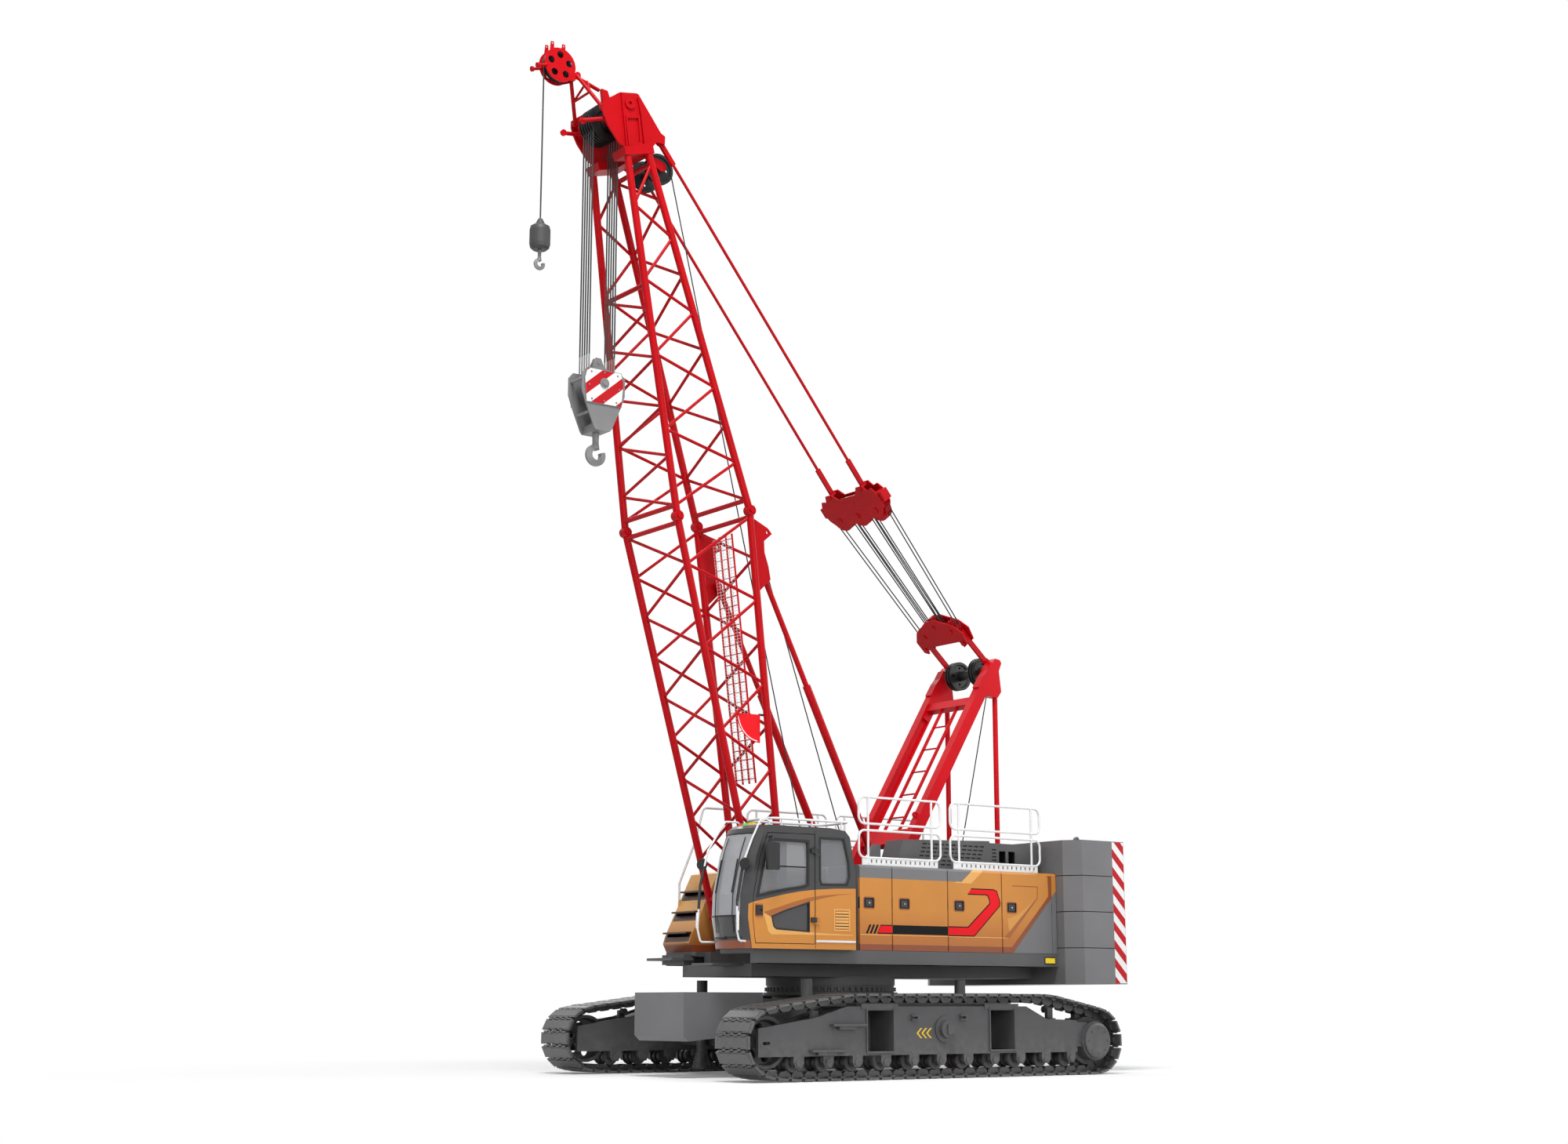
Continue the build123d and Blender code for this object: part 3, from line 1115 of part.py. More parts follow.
def bail():
    """Lower spreader: two scalloped plates, three pairs of flat sheaves, and the links to the gantry."""
    outline = both([(330, 145), (400, 145), (450, 260), (540, 220), (580, 0), (450, -170), (220, -280),
                    (100, -340)])
    pieces = []
    for near in (-PLATE_OFF - PLATE_THICK, PLATE_OFF):
        pieces.append(slanted(BAIL, ROPE_RUN, outline, near, near + PLATE_THICK))
    pieces += flat_sheaves(BAIL, ROPE_RUN, BAIL_PINS, 165)
    pieces += plate_pins(BAIL, ROPE_RUN, BAIL_PINS + [(-BAIL_LINK_Y, 185), (BAIL_LINK_Y, 185)], 32)
    for s in (-1, 1):
        link = fuse([bar_xz(BAIL, BAIL_PIN, 90, s * BAIL_LINK_Y - 20, s * BAIL_LINK_Y + 20),
                     disc(BAIL_PIN, 65, s * BAIL_LINK_Y - 20, s * BAIL_LINK_Y + 20)])
        pieces.append(link.cut(disc(BAIL_PIN, 30 + PIN_GAP, s * BAIL_LINK_Y - 30, s * BAIL_LINK_Y + 30)))
    return fuse(pieces)


def head_sheaves():
    """Main hoist sheaves at the boom head."""
    depth = HEAD_SHEAVE_R - (FALL_OFFSET - ROPE_R - ROPE_GAP)
    return sheave_stack(HEAD_AXLE, HEAD_SHEAVE_R, FALL_YS, 60, 110, depth)


def guide_sheaves():
    """Two guide sheaves behind the boom head."""
    return sheave_stack((3480, 13840), 250, (-200, 200), 36, 60)


def jib_sheave():
    """Sheave of the auxiliary line."""
    return sheave_stack(JIB_AXLE, JIB_SHEAVE_R, (0,), 40, 70)


def mirrored_plate(half, y0, y1):
    """Plate across the hook line: half outline of (distance from the line, z), mirrored."""
    right = [(HOOK_X + x, z) for x, z in half]
    return plate_xz(right + [(HOOK_X - x, z) for x, z in reversed(half)], y0, y1)


def hook_block():
    """Main hook block with its hoist falls."""
    low = BLOCK_AXLE_Z - CROSSHEAD
    half_cheek = [(300, BLOCK_AXLE_Z + 205), (375, BLOCK_AXLE_Z + 120), (375, BLOCK_AXLE_Z - 150),
                  (310, BLOCK_AXLE_Z - 330), (155, BLOCK_AXLE_Z - 690), (120, low)]
    cover = [(300, BLOCK_AXLE_Z + 205), (345, BLOCK_AXLE_Z + 40), (310, BLOCK_AXLE_Z - 330)]
    pieces = []
    for s in (-1, 1):
        pieces.append(mirrored_plate(half_cheek, s * CHEEK_Y, s * (CHEEK_Y + CHEEK_THICK)))
        pieces.append(mirrored_plate(cover, s * (CHEEK_Y + CHEEK_THICK), s * (CHEEK_Y + CHEEK_THICK + 16)))
        face = s * (CHEEK_Y + CHEEK_THICK + 16)
        pieces.append(disc((HOOK_X, BLOCK_AXLE_Z), 75, face, face + s * 22))
        pieces.append(disc((HOOK_X, BLOCK_AXLE_Z), 42, face, face + s * 36))
        for x, z in BOLT_PLACES:
            pieces.append(disc((HOOK_X + x, BLOCK_AXLE_Z + z), 13, face, face + s * 10))
    for x, z in ((330, 50), (-330, 50), (215, -450), (-215, -450)):
        pieces.append(disc((HOOK_X + x, BLOCK_AXLE_Z + z), 24, -CHEEK_Y - 5, CHEEK_Y + 5))
    for s in (-1, 1):
        becket = [(110, BLOCK_AXLE_Z + 130), (95, BLOCK_AXLE_Z + 330), (45, BLOCK_AXLE_Z + 440)]
        pieces.append(mirrored_plate(becket, s * 34 - 9, s * 34 + 9))
    pieces.append(disc((HOOK_X, BLOCK_AXLE_Z + 370), 24, -50, 50))
    crosshead = box(HOOK_X - 115, HOOK_X + 115, -CHEEK_Y - 4, CHEEK_Y + 4, low, low + CROSSHEAD_THICK)
    bore = disc_z(HOOK_X, 0, MAIN_SHANK_R + PIN_GAP, low - 100, low + CROSSHEAD_THICK + 100)
    pieces.append(crosshead.cut(bore))
    pieces.append(disc((HOOK_X, BLOCK_AXLE_Z), 60, -CHEEK_Y - 30, CHEEK_Y + 30))
    for y in FALL_YS:
        pieces.append(sheave((HOOK_X, BLOCK_AXLE_Z), BLOCK_SHEAVE_R, y, 55,
                             BLOCK_SHEAVE_R - (FALL_OFFSET - ROPE_R + 2)))
        for s in (-1, 1):
            x = HOOK_X + s * FALL_OFFSET
            pieces.append(rod((x, y, BLOCK_AXLE_Z), (x, y, HEAD_AXLE[1]), ROPE_R))
    return fuse(pieces)


def hook(x, top, centre_z, inner, outer, shank_r, rise):
    """Point hook of trapezoid section, with a collar and a shank that rises into what carries it."""
    centre = (x, centre_z)
    width = outer - inner
    bow = turned(centre, 0, [(-0.55 * width, inner), (-0.25 * width, outer), (0.25 * width, outer),
                             (0.55 * width, inner)])
    mouth = plate_xz([(x - inner * 0.2, centre_z + inner * 0.25), (x - inner * 0.55, centre_z + outer * 1.2),
                      (x - outer * 1.2, centre_z + outer * 1.2), (x - outer * 1.2, centre_z + inner * 0.9)],
                     -outer, outer)
    neck = [(top + rise, 0), (top + rise, shank_r), (top, shank_r), (centre_z + outer + 20, shank_r * 0.9),
            (centre_z + inner + 10, shank_r * 1.15), (centre_z + inner + 4, 0)]
    return fuse([bow.cut(mouth), turned_z(x, 0, neck)])


def main_hook():
    """Swivelling main hook with its nut above the crosshead."""
    low = BLOCK_AXLE_Z - CROSSHEAD
    top = low + CROSSHEAD_THICK
    nut = disc_z(HOOK_X, 0, 80, top + PIN_GAP, top + 60)
    return fuse([hook(HOOK_X, low - 5, 9130, 80, 168, MAIN_SHANK_R, CROSSHEAD_THICK + 30), nut])


def aux_ball():
    """Ball weight of the auxiliary line with its fall."""
    outline = [(12150, 0), (12150, 105), (12185, 145), (12240, 158), (12460, 158), (12515, 145), (12560, 75),
               (12640, 34), (12640, 0)]
    line = rod((AUX_X, 0, 12600), (AUX_X, 0, JIB_AXLE[1]), ROPE_R)
    socket = disc_z(AUX_X, 0, AUX_SHANK_R + PIN_GAP, 12100, 12250)
    return fuse([turned_z(AUX_X, 0, outline), line]).cut(socket)


def aux_hook():
    """Swivelling auxiliary hook."""
    return hook(AUX_X, 12145, 11925, 44, 92, AUX_SHANK_R, 90)


def nodes():
    """Every part by name."""
    yield "carbody", carbody()
    yield "carbody_weights", carbody_weights()
    yield "corner_jacks", jacks()
    yield "slew_ring", slew_ring()
    for side, y in (("left", TRACK_Y), ("right", -TRACK_Y)):
        yield f"track_{side}", track_loop(y)
        yield f"side_frame_{side}", side_frame(y)
        yield f"rollers_{side}", rollers(y)
    yield "idlers", group([idler(TRACK_Y), idler(-TRACK_Y)])
    yield "final_drives", group([drive(TRACK_Y), drive(-TRACK_Y)])
    yield "revolving_frame", revolving_frame()
    for name, side in (("left", 1), ("right", -1)):
        yield f"machine_house_{name}", house(side)
        yield f"side_panels_{name}", side_panels(side)
    yield "handrails", group([handrails(1), handrails(-1)] + cab_rails())
    yield "engine_hood", engine_hood()
    yield "engine_block", engine_block()
    yield "stair_housing", stair_housing()
    yield "counterweight", counterweight()
    yield "gantry", gantry()
    yield "gantry_sheaves", gantry_sheaves()
    for name in DRUMS:
        yield f"{name}_drum", drum(name)
    yield "cab_shell", cab_shell()
    yield "cab_door", cab_door()
    yield "cab_glass", cab_glass()
    yield "cab_interior", cab_interior()
    yield "boom_base", boom_base()
    yield "boom_top", boom_top()
    yield "boom_head", boom_head()
    yield "aux_jib", aux_jib()
    yield "boom_walkway", boom_walkway()
    yield "backstop_tubes", stop_tubes()
    yield "backstop_rods", stop_rods()
    yield "pendants", pendants()
    yield "luffing_bail", bail()
    yield "head_sheaves", head_sheaves()
    yield "guide_sheaves", guide_sheaves()
    yield "jib_sheave", jib_sheave()
    yield "hook_block", hook_block()
    yield "main_hook", main_hook()
    yield "aux_ball", aux_ball()
    yield "aux_hook", aux_hook()


def main():
    os.makedirs("parts", exist_ok=True)
    for name, shape in nodes():
        export_step(shape, f"parts/{name}.step")


main()
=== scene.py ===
"""Looks of the crawler crane: materials, track shoes, ropes, glazing and trim around the CAD frame."""
import bpy
import bmesh
import math
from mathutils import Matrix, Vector


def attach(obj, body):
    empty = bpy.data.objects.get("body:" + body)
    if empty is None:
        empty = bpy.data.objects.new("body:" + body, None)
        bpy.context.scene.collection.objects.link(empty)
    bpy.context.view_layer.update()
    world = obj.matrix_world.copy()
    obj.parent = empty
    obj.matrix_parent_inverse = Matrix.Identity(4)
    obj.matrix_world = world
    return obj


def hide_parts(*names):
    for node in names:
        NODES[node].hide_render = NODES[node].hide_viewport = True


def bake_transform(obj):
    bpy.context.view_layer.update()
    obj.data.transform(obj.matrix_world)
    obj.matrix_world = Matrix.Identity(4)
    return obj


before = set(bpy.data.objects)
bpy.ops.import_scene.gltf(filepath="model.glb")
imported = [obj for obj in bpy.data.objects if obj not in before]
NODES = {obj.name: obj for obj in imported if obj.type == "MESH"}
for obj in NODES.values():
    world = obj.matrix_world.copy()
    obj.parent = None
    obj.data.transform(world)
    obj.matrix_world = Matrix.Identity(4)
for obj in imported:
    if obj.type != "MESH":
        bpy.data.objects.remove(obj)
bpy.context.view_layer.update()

# ---- Camera, floor and light ----
IMAGE_WIDTH = 2000
FOCAL_PIXELS = 2741.8
SENSOR_WIDTH = 36
CLIP_END = 2000
CAMERA_AT = (20.786, 26.844, 1.044)
CAMERA_PITCH = 0.1985
CAMERA_YAW = 4.0746
WORLD_LIGHT = 0.38
WORLD_COLOUR = (0.97, 0.985, 1, 1)
FLOOR_HALF = 150
FLOOR_COLOUR = (0.86, 0.86, 0.86, 1)
FLOOR_LIFT = 0.12
FLOOR_FADE = (5.0, 13.0)
PLAIN_WHITE = (1, 1, 1, 1)
# Name, place, aim, size, power
LIGHTS = (("key", (10, 12, 30), (0, 0, 6), 9, 6500),
          ("camera_fill", (12, 30, 10), (0, 0, 4), 12, 2300),
          ("left_rim", (-24, 12, 14), (-1, 0, 5), 8, 1800),
          ("rear", (-10, -26, 24), (0, 0, 6), 12, 2200))


def make_camera():
    data = bpy.data.cameras.new("camera")
    data.sensor_width = SENSOR_WIDTH
    data.lens = SENSOR_WIDTH * FOCAL_PIXELS / IMAGE_WIDTH
    data.clip_end = CLIP_END
    camera = bpy.data.objects.new("camera", data)
    camera.location = CAMERA_AT
    camera.rotation_euler = (math.pi / 2 + CAMERA_PITCH, 0, CAMERA_YAW - math.pi / 2)
    bpy.context.collection.objects.link(camera)
    bpy.context.scene.camera = camera


def nodes_of(material):
    """Node tree of a new material, cleared, with its output."""
    material.use_nodes = True
    tree = material.node_tree
    tree.nodes.clear()
    out = tree.nodes.new("ShaderNodeOutputMaterial")
    return tree, out


def camera_share(tree):
    """1 for rays that should see the plain background."""
    path = tree.nodes.new("ShaderNodeLightPath")
    share = path.outputs["Is Camera Ray"]
    for kind in ("Is Glossy Ray", "Is Transmission Ray"):
        either = tree.nodes.new("ShaderNodeMath")
        either.operation = "MAXIMUM"
        tree.links.new(share, either.inputs[0])
        tree.links.new(path.outputs[kind], either.inputs[1])
        share = either.outputs[0]
    return share


def make_world():
    """Soft light from all round, and plain white where the background is seen."""
    world = bpy.data.worlds.new("studio")
    bpy.context.scene.world = world
    world.use_nodes = True
    tree = world.node_tree
    tree.nodes.clear()
    out = tree.nodes.new("ShaderNodeOutputWorld")
    seen = tree.nodes.new("ShaderNodeBackground")
    seen.inputs["Color"].default_value = PLAIN_WHITE
    seen.inputs["Strength"].default_value = 1.0
    light = tree.nodes.new("ShaderNodeBackground")
    light.inputs["Color"].default_value = WORLD_COLOUR
    light.inputs["Strength"].default_value = WORLD_LIGHT
    mix = tree.nodes.new("ShaderNodeMixShader")
    tree.links.new(camera_share(tree), mix.inputs[0])
    tree.links.new(light.outputs[0], mix.inputs[1])
    tree.links.new(seen.outputs[0], mix.inputs[2])
    tree.links.new(mix.outputs[0], out.inputs[0])


def make_floor():
    """Pale floor: it keeps the shadow under the machine and fades to plain white away from it."""
    half = FLOOR_HALF
    mesh = bpy.data.meshes.new("floor")
    mesh.from_pydata([(-half, -half, 0), (half, -half, 0), (half, half, 0), (-half, half, 0)], [], [(0, 1, 2, 3)])
    floor = bpy.data.objects.new("floor", mesh)
    bpy.context.collection.objects.link(floor)
    material = bpy.data.materials.new("floor")
    tree, out = nodes_of(material)
    diffuse = tree.nodes.new("ShaderNodeBsdfDiffuse")
    diffuse.inputs["Color"].default_value = FLOOR_COLOUR
    lift = tree.nodes.new("ShaderNodeEmission")
    lift.inputs["Color"].default_value = PLAIN_WHITE
    seen = camera_share(tree)
    share = tree.nodes.new("ShaderNodeMath")
    share.operation = "MULTIPLY"
    share.inputs[1].default_value = FLOOR_LIFT
    tree.links.new(seen, share.inputs[0])
    tree.links.new(share.outputs[0], lift.inputs["Strength"])
    add = tree.nodes.new("ShaderNodeAddShader")
    tree.links.new(diffuse.outputs[0], add.inputs[0])
    tree.links.new(lift.outputs[0], add.inputs[1])
    white = tree.nodes.new("ShaderNodeEmission")
    place = tree.nodes.new("ShaderNodeTexCoord")
    reach = tree.nodes.new("ShaderNodeVectorMath")
    reach.operation = "LENGTH"
    fade = tree.nodes.new("ShaderNodeMapRange")
    fade.interpolation_type = "SMOOTHSTEP"
    fade.inputs["From Min"].default_value, fade.inputs["From Max"].default_value = FLOOR_FADE
    both = tree.nodes.new("ShaderNodeMath")
    both.operation = "MULTIPLY"
    blend = tree.nodes.new("ShaderNodeMixShader")
    tree.links.new(place.outputs["Object"], reach.inputs[0])
    tree.links.new(reach.outputs["Value"], fade.inputs["Value"])
    tree.links.new(fade.outputs["Result"], both.inputs[0])
    tree.links.new(seen, both.inputs[1])
    tree.links.new(both.outputs[0], blend.inputs[0])
    tree.links.new(add.outputs[0], blend.inputs[1])
    tree.links.new(white.outputs[0], blend.inputs[2])
    tree.links.new(blend.outputs[0], out.inputs[0])
    mesh.materials.append(material)


def area_light(name, at, aim, size, power):
    """Square lamp at a place, turned to what it lights."""
    data = bpy.data.lights.new(name, "AREA")
    data.shape = "SQUARE"
    data.size = size
    data.energy = power
    lamp = bpy.data.objects.new(name, data)
    lamp.location = at
    lamp.rotation_euler = (Vector(aim) - Vector(at)).to_track_quat("-Z", "Y").to_euler()
    bpy.context.collection.objects.link(lamp)


# ---- Materials ----
MATERIALS = {}
MOTTLE_SCALE = 1.3
GRIT_SCALE = 9.0
ROUGH_SPREAD = 0.07
RELIEF_DEPTH = 0.002
COAT_ROUGHNESS = 0.12
GLASS_IOR = 1.5
GLASS_COAT = 0.6
SMEAR_SCALE = 3.0
SMEAR_ROUGHNESS = 0.06


def within(tree, place, limits):
    """1 where the point lies beyond every plane (a, b, c, d) of the limits: a x + b y + c z > d."""
    inside = None
    for a, b, c, d in limits:
        dot = tree.nodes.new("ShaderNodeVectorMath")
        dot.operation = "DOT_PRODUCT"
        dot.inputs[1].default_value = (a, b, c)
        tree.links.new(place.outputs["Object"], dot.inputs[0])
        beyond = tree.nodes.new("ShaderNodeMath")
        beyond.operation = "GREATER_THAN"
        beyond.inputs[1].default_value = d
        tree.links.new(dot.outputs["Value"], beyond.inputs[0])
        if inside is None:
            inside = beyond.outputs[0]
            continue
        both = tree.nodes.new("ShaderNodeMath")
        both.operation = "MINIMUM"
        tree.links.new(inside, both.inputs[0])
        tree.links.new(beyond.outputs[0], both.inputs[1])
        inside = both.outputs[0]
    return inside


def surface(name, colour, rough=0.45, metal=0.0, grain=40.0, mottle=0.06, bump=0.02, coat=0.0,
            dust=None, wear=None, emit=0.0, fade=None, zones=(), specular=0.4):
    """Procedural paint, steel or rubber.

    dust is (colour, top height); wear is (colour, amount); fade is (colour, full height, no height), painted shade
    that darkens the part towards its foot.
    zones are (colour, limits) for other colours on the same part: each limit is a plane (a, b, c, d), and the
    colour lies where a x + b y + c z > d for all of them.
    """
    material = bpy.data.materials.new(name)
    tree, out = nodes_of(material)
    new, link = tree.nodes.new, tree.links.new
    shader = new("ShaderNodeBsdfPrincipled")
    shader.inputs["Metallic"].default_value = metal
    shader.inputs["Specular IOR Level"].default_value = specular
    shader.inputs["Coat Weight"].default_value = coat
    shader.inputs["Coat Roughness"].default_value = COAT_ROUGHNESS
    place = new("ShaderNodeTexCoord")

    def noise(scale, detail):
        node = new("ShaderNodeTexNoise")
        node.inputs["Scale"].default_value = scale
        node.inputs["Detail"].default_value = detail
        link(place.outputs["Object"], node.inputs["Vector"])
        return node.outputs["Fac"]

    def span(value, low, high, out_low, out_high):
        node = new("ShaderNodeMapRange")
        node.inputs["From Min"].default_value = low
        node.inputs["From Max"].default_value = high
        node.inputs["To Min"].default_value = out_low
        node.inputs["To Max"].default_value = out_high
        link(value, node.inputs["Value"])
        return node.outputs["Result"]

    def mix(factor, one, two):
        node = new("ShaderNodeMix")
        node.data_type = "RGBA"
        link(factor, node.inputs[0])
        for socket, value in ((node.inputs[6], one), (node.inputs[7], two)):
            if isinstance(value, tuple):
                socket.default_value = (*value, 1)
            else:
                link(value, socket)
        return node.outputs[2]

    def multiply(one, two):
        node = new("ShaderNodeMath")
        node.operation = "MULTIPLY"
        link(one, node.inputs[0])
        link(two, node.inputs[1])
        return node.outputs[0]

    def height():
        axes = new("ShaderNodeSeparateXYZ")
        link(place.outputs["Object"], axes.inputs[0])
        return axes.outputs["Z"]

    broad = noise(MOTTLE_SCALE, 4.0)
    fine = noise(grain, 6.0)
    dark = tuple(c * (1 - 2 * mottle) for c in colour)
    light = tuple(min(1.0, c * (1 + mottle)) for c in colour)
    shade = mix(span(broad, 0.3, 0.7, 0, 1), dark, light)
    # fade paints shade: the colour darkens the part below a height
    if fade:
        shade = mix(span(height(), fade[1], fade[2], 1, 0), shade, fade[0])
    for other, limits in zones:
        shade = mix(within(tree, place, limits), shade, other)
    if wear:
        spots = noise(grain * 1.7, 8.0)
        shade = mix(span(spots, 0.62 - 0.1 * wear[1], 0.72, 0, wear[1]), shade, wear[0])
    if dust:
        low = span(height(), 0.0, dust[1], 1, 0)
        grit = span(noise(GRIT_SCALE, 7.0), 0.35, 0.75, 0, 1)
        shade = mix(multiply(low, grit), shade, dust[0])
    link(shade, shader.inputs["Base Color"])
    link(span(fine, 0.3, 0.7, max(0.05, rough - ROUGH_SPREAD), min(1.0, rough + ROUGH_SPREAD)),
         shader.inputs["Roughness"])
    relief = new("ShaderNodeBump")
    relief.inputs["Strength"].default_value = min(1.0, bump * 10)
    relief.inputs["Distance"].default_value = RELIEF_DEPTH
    link(fine, relief.inputs["Height"])
    link(relief.outputs[0], shader.inputs["Normal"])
    if emit:
        shader.inputs["Emission Color"].default_value = (*colour, 1)
        shader.inputs["Emission Strength"].default_value = emit
    link(shader.outputs[0], out.inputs[0])
    MATERIALS[name] = material


def glass(name, colour, alpha, rough=0.04, zones=()):
    """Tinted pane that lets part of the view through. zones are (colour, alpha, limits), as for surface."""
    material = bpy.data.materials.new(name)
    tree, out = nodes_of(material)
    new, link = tree.nodes.new, tree.links.new
    shader = new("ShaderNodeBsdfPrincipled")
    place = new("ShaderNodeTexCoord")
    smear = new("ShaderNodeTexNoise")
    smear.inputs["Scale"].default_value = SMEAR_SCALE
    link(place.outputs["Object"], smear.inputs["Vector"])
    spread = new("ShaderNodeMapRange")
    spread.inputs["To Min"].default_value = rough
    spread.inputs["To Max"].default_value = rough + SMEAR_ROUGHNESS
    link(smear.outputs["Fac"], spread.inputs["Value"])
    link(spread.outputs["Result"], shader.inputs["Roughness"])
    tint = new("ShaderNodeMix")
    tint.data_type = "RGBA"
    tint.inputs[6].default_value = (*colour, 1)
    tint.inputs[7].default_value = (*(c * 1.15 for c in colour), 1)
    link(smear.outputs["Fac"], tint.inputs[0])
    shade, cover = tint.outputs[2], None
    for other, density, limits in zones:
        inside = within(tree, place, limits)
        blend = new("ShaderNodeMix")
        blend.data_type = "RGBA"
        blend.inputs[7].default_value = (*other, 1)
        link(inside, blend.inputs[0])
        link(shade, blend.inputs[6])
        shade = blend.outputs[2]
        amount = new("ShaderNodeMix")
        amount.inputs[2].default_value = alpha
        amount.inputs[3].default_value = density
        link(inside, amount.inputs[0])
        if cover:
            link(cover, amount.inputs[2])
        cover = amount.outputs[0]
    link(shade, shader.inputs["Base Color"])
    shader.inputs["Alpha"].default_value = alpha
    if cover:
        link(cover, shader.inputs["Alpha"])
    shader.inputs["IOR"].default_value = GLASS_IOR
    shader.inputs["Coat Weight"].default_value = GLASS_COAT
    link(shader.outputs[0], out.inputs[0])
    MATERIALS[name] = material


GROUND_DUST = ((0.16, 0.15, 0.14), 0.7)
RED = (0.60, 0.003, 0.010)
RED_DEEP = (0.46, 0.002, 0.006)
AMBER = (0.60, 0.235, 0.034)
AMBER_LIGHT = (0.78, 0.40, 0.105)
AMBER_DARK = (0.38, 0.115, 0.024)
BROWN = (0.26, 0.066, 0.020)
TREAD_DARK_AND_SHADE = (0.055, 0.018, 0.008)
GREY = (0.165, 0.165, 0.170)
GREY_MID = (0.105, 0.105, 0.108)
CHARCOAL = (0.040, 0.040, 0.042)
BLACK = (0.010, 0.010, 0.011)
WHITE = (0.80, 0.80, 0.80)
ROPE = (0.030, 0.029, 0.029)


def below(points):
    """Limits that hold below a line of (x, z) points that bends downwards."""
    limits = []
    for (x0, z0), (x1, z1) in zip(points, points[1:]):
        slope = (z1 - z0) / (x1 - x0)
        limits.append((slope, 0, -1, slope * x0 - z0))
    return limits


# Top edge of the amber field on the cab sides, rear to front
CAB_WAIST = [(0.767, 2.726), (1.15, 2.714), (1.514, 2.690), (1.80, 2.656), (2.085, 2.606), (2.366, 2.545),
             (2.616, 2.490), (2.712, 2.455)]
WAIST = below(CAB_WAIST)
LEFT_SKIN = (0, 1, 0, 1.603)
RIGHT_SKIN = (0, -1, 0, -0.737)
CAB_ZONES = [(AMBER, [LEFT_SKIN] + WAIST), (AMBER, [RIGHT_SKIN] + WAIST),
             (AMBER, [(-1, 0, 0, -0.79), (0, 0, -1, -2.72)]),
             (BROWN, [(1, 0, 0, 2.3), (0, 0, -1, -1.945), (0, -1, 0, -1.595), (0, 1, 0, 0.745)])]
DOOR_ZONES = [(AMBER, [LEFT_SKIN] + WAIST), (BLACK, [(0, 1, 0, 1.613)])]
# Underside and top of each stair tread
TREADS = [(2.110, 2.136), (2.430, 2.456), (2.750, 2.776)]
STAIR_ZONES = [(BROWN, [(0, 0, -1, -1.935)])]
# Very dark brown over each tread and the bracket below it: the tread's own dark colour, with painted shade under
# the tread
STAIR_ZONES += [(TREAD_DARK_AND_SHADE, [(0, 0, 1, low - 0.12), (0, 0, -1, -high - 0.002), (0, -1, 0, 0.79), (0, 1, 0, -1.455)])
                for low, high in TREADS]
STAIR_ZONES += [(WHITE, [(0, 0, 1, 3.085)]), (WHITE, [(2, 0, 1, 6.35), (0, -1, 0, 1.44)])]
PANEL_ZONES = [(BROWN, [(0, 0, -1, -1.925)]),
               # Light amber strip along the slanted rear end of the grey top band: painted highlight
               (AMBER_LIGHT, [(0, 0, 1, 2.886), (1, 0, 1.243, 1.97), (-1, 0, -1.243, -2.30)]),
               (GREY, [(0, 0, 1, 2.905), (1, 0, 1.243, 2.191)]),
               (GREY, [(-1, 0, -0.956, 0.7157)]),
               (CHARCOAL, [(0, 1, 0, -1.4992), (0, -1, 0, -1.4992), (0, 0, 1, 2.452), (0, 0, -1, -2.618)])]
# Black on the floors of the grille slots in the engine hood: painted shade for the dark inside the slots
HOOD_ZONES = [(BLACK, [(0, -1, 0, -1.1695), (0, 1, 0, 1.15), (0, 0, -1, -3.53), (-1, 0, 0, 0.6)]),
              (BLACK, [(0, -1, 0, -1.17), (0, 1, 0, 0.95), (0, 0, 1, 3.112), (0, 0, -1, -3.445), (1, 0, 0, -2.845),
                       (-1, 0, 0, 2.495)])]
surface("red", RED, 0.4, mottle=0.05, specular=0.12)
surface("red_deep", RED_DEEP, 0.4, mottle=0.05, specular=0.12)
# Side panels: the fade is painted shade, darker amber from 2.45 m down to 2.0 m
surface("amber", AMBER, 0.34, mottle=0.03, coat=0.25, fade=((0.47, 0.155, 0.024), 2.0, 2.45), zones=PANEL_ZONES)
surface("cab_paint", CHARCOAL, 0.36, mottle=0.03, coat=0.25, zones=CAB_ZONES)
surface("door_paint", CHARCOAL, 0.36, mottle=0.03, coat=0.25, zones=DOOR_ZONES)
# Stair housing: the fade is painted shade, darker amber from 2.5 m down to 1.85 m
surface("stair_paint", AMBER_LIGHT, 0.38, mottle=0.03, coat=0.2, fade=(AMBER_DARK, 1.85, 2.5), zones=STAIR_ZONES)
# Lighter amber for films that are painted highlights on creases and along the foot of the cab
surface("amber_light", AMBER_LIGHT, 0.34, mottle=0.03, coat=0.25)
surface("amber_dark", AMBER_DARK, 0.36, mottle=0.04, coat=0.2)
surface("brown", BROWN, 0.42, mottle=0.05, coat=0.2)
surface("grey", GREY, 0.46, mottle=0.05, coat=0.05)
surface("grey_mid", GREY_MID, 0.5, mottle=0.06)
surface("hood_paint", GREY_MID, 0.5, mottle=0.06, zones=HOOD_ZONES)
surface("grey_dark", (0.075, 0.075, 0.078), 0.48, mottle=0.07, dust=GROUND_DUST)
surface("charcoal", CHARCOAL, 0.45, mottle=0.06, coat=0.15)
surface("black", BLACK, 0.42, mottle=0.1)
surface("steel", (0.13, 0.128, 0.127), 0.42, metal=0.55, mottle=0.12, grain=55, bump=0.05,
        dust=((0.12, 0.117, 0.114), 1.0), wear=((0.30, 0.29, 0.285), 0.5))
surface("block_grey", (0.22, 0.22, 0.224), 0.42, metal=0.1, mottle=0.07, bump=0.03,
        zones=[(ROPE, [(0, 0, 1, 10.648)])])
surface("hook_grey", (0.20, 0.20, 0.205), 0.4, metal=0.2, mottle=0.1, bump=0.04, wear=((0.3, 0.3, 0.3), 0.4))
surface("ball_grey", (0.055, 0.055, 0.057), 0.5, metal=0.1, mottle=0.07, bump=0.03,
        zones=[(ROPE, [(0, 0, 1, 12.90)])])
surface("bright", (0.72, 0.72, 0.73), 0.25, metal=0.75, mottle=0.04)
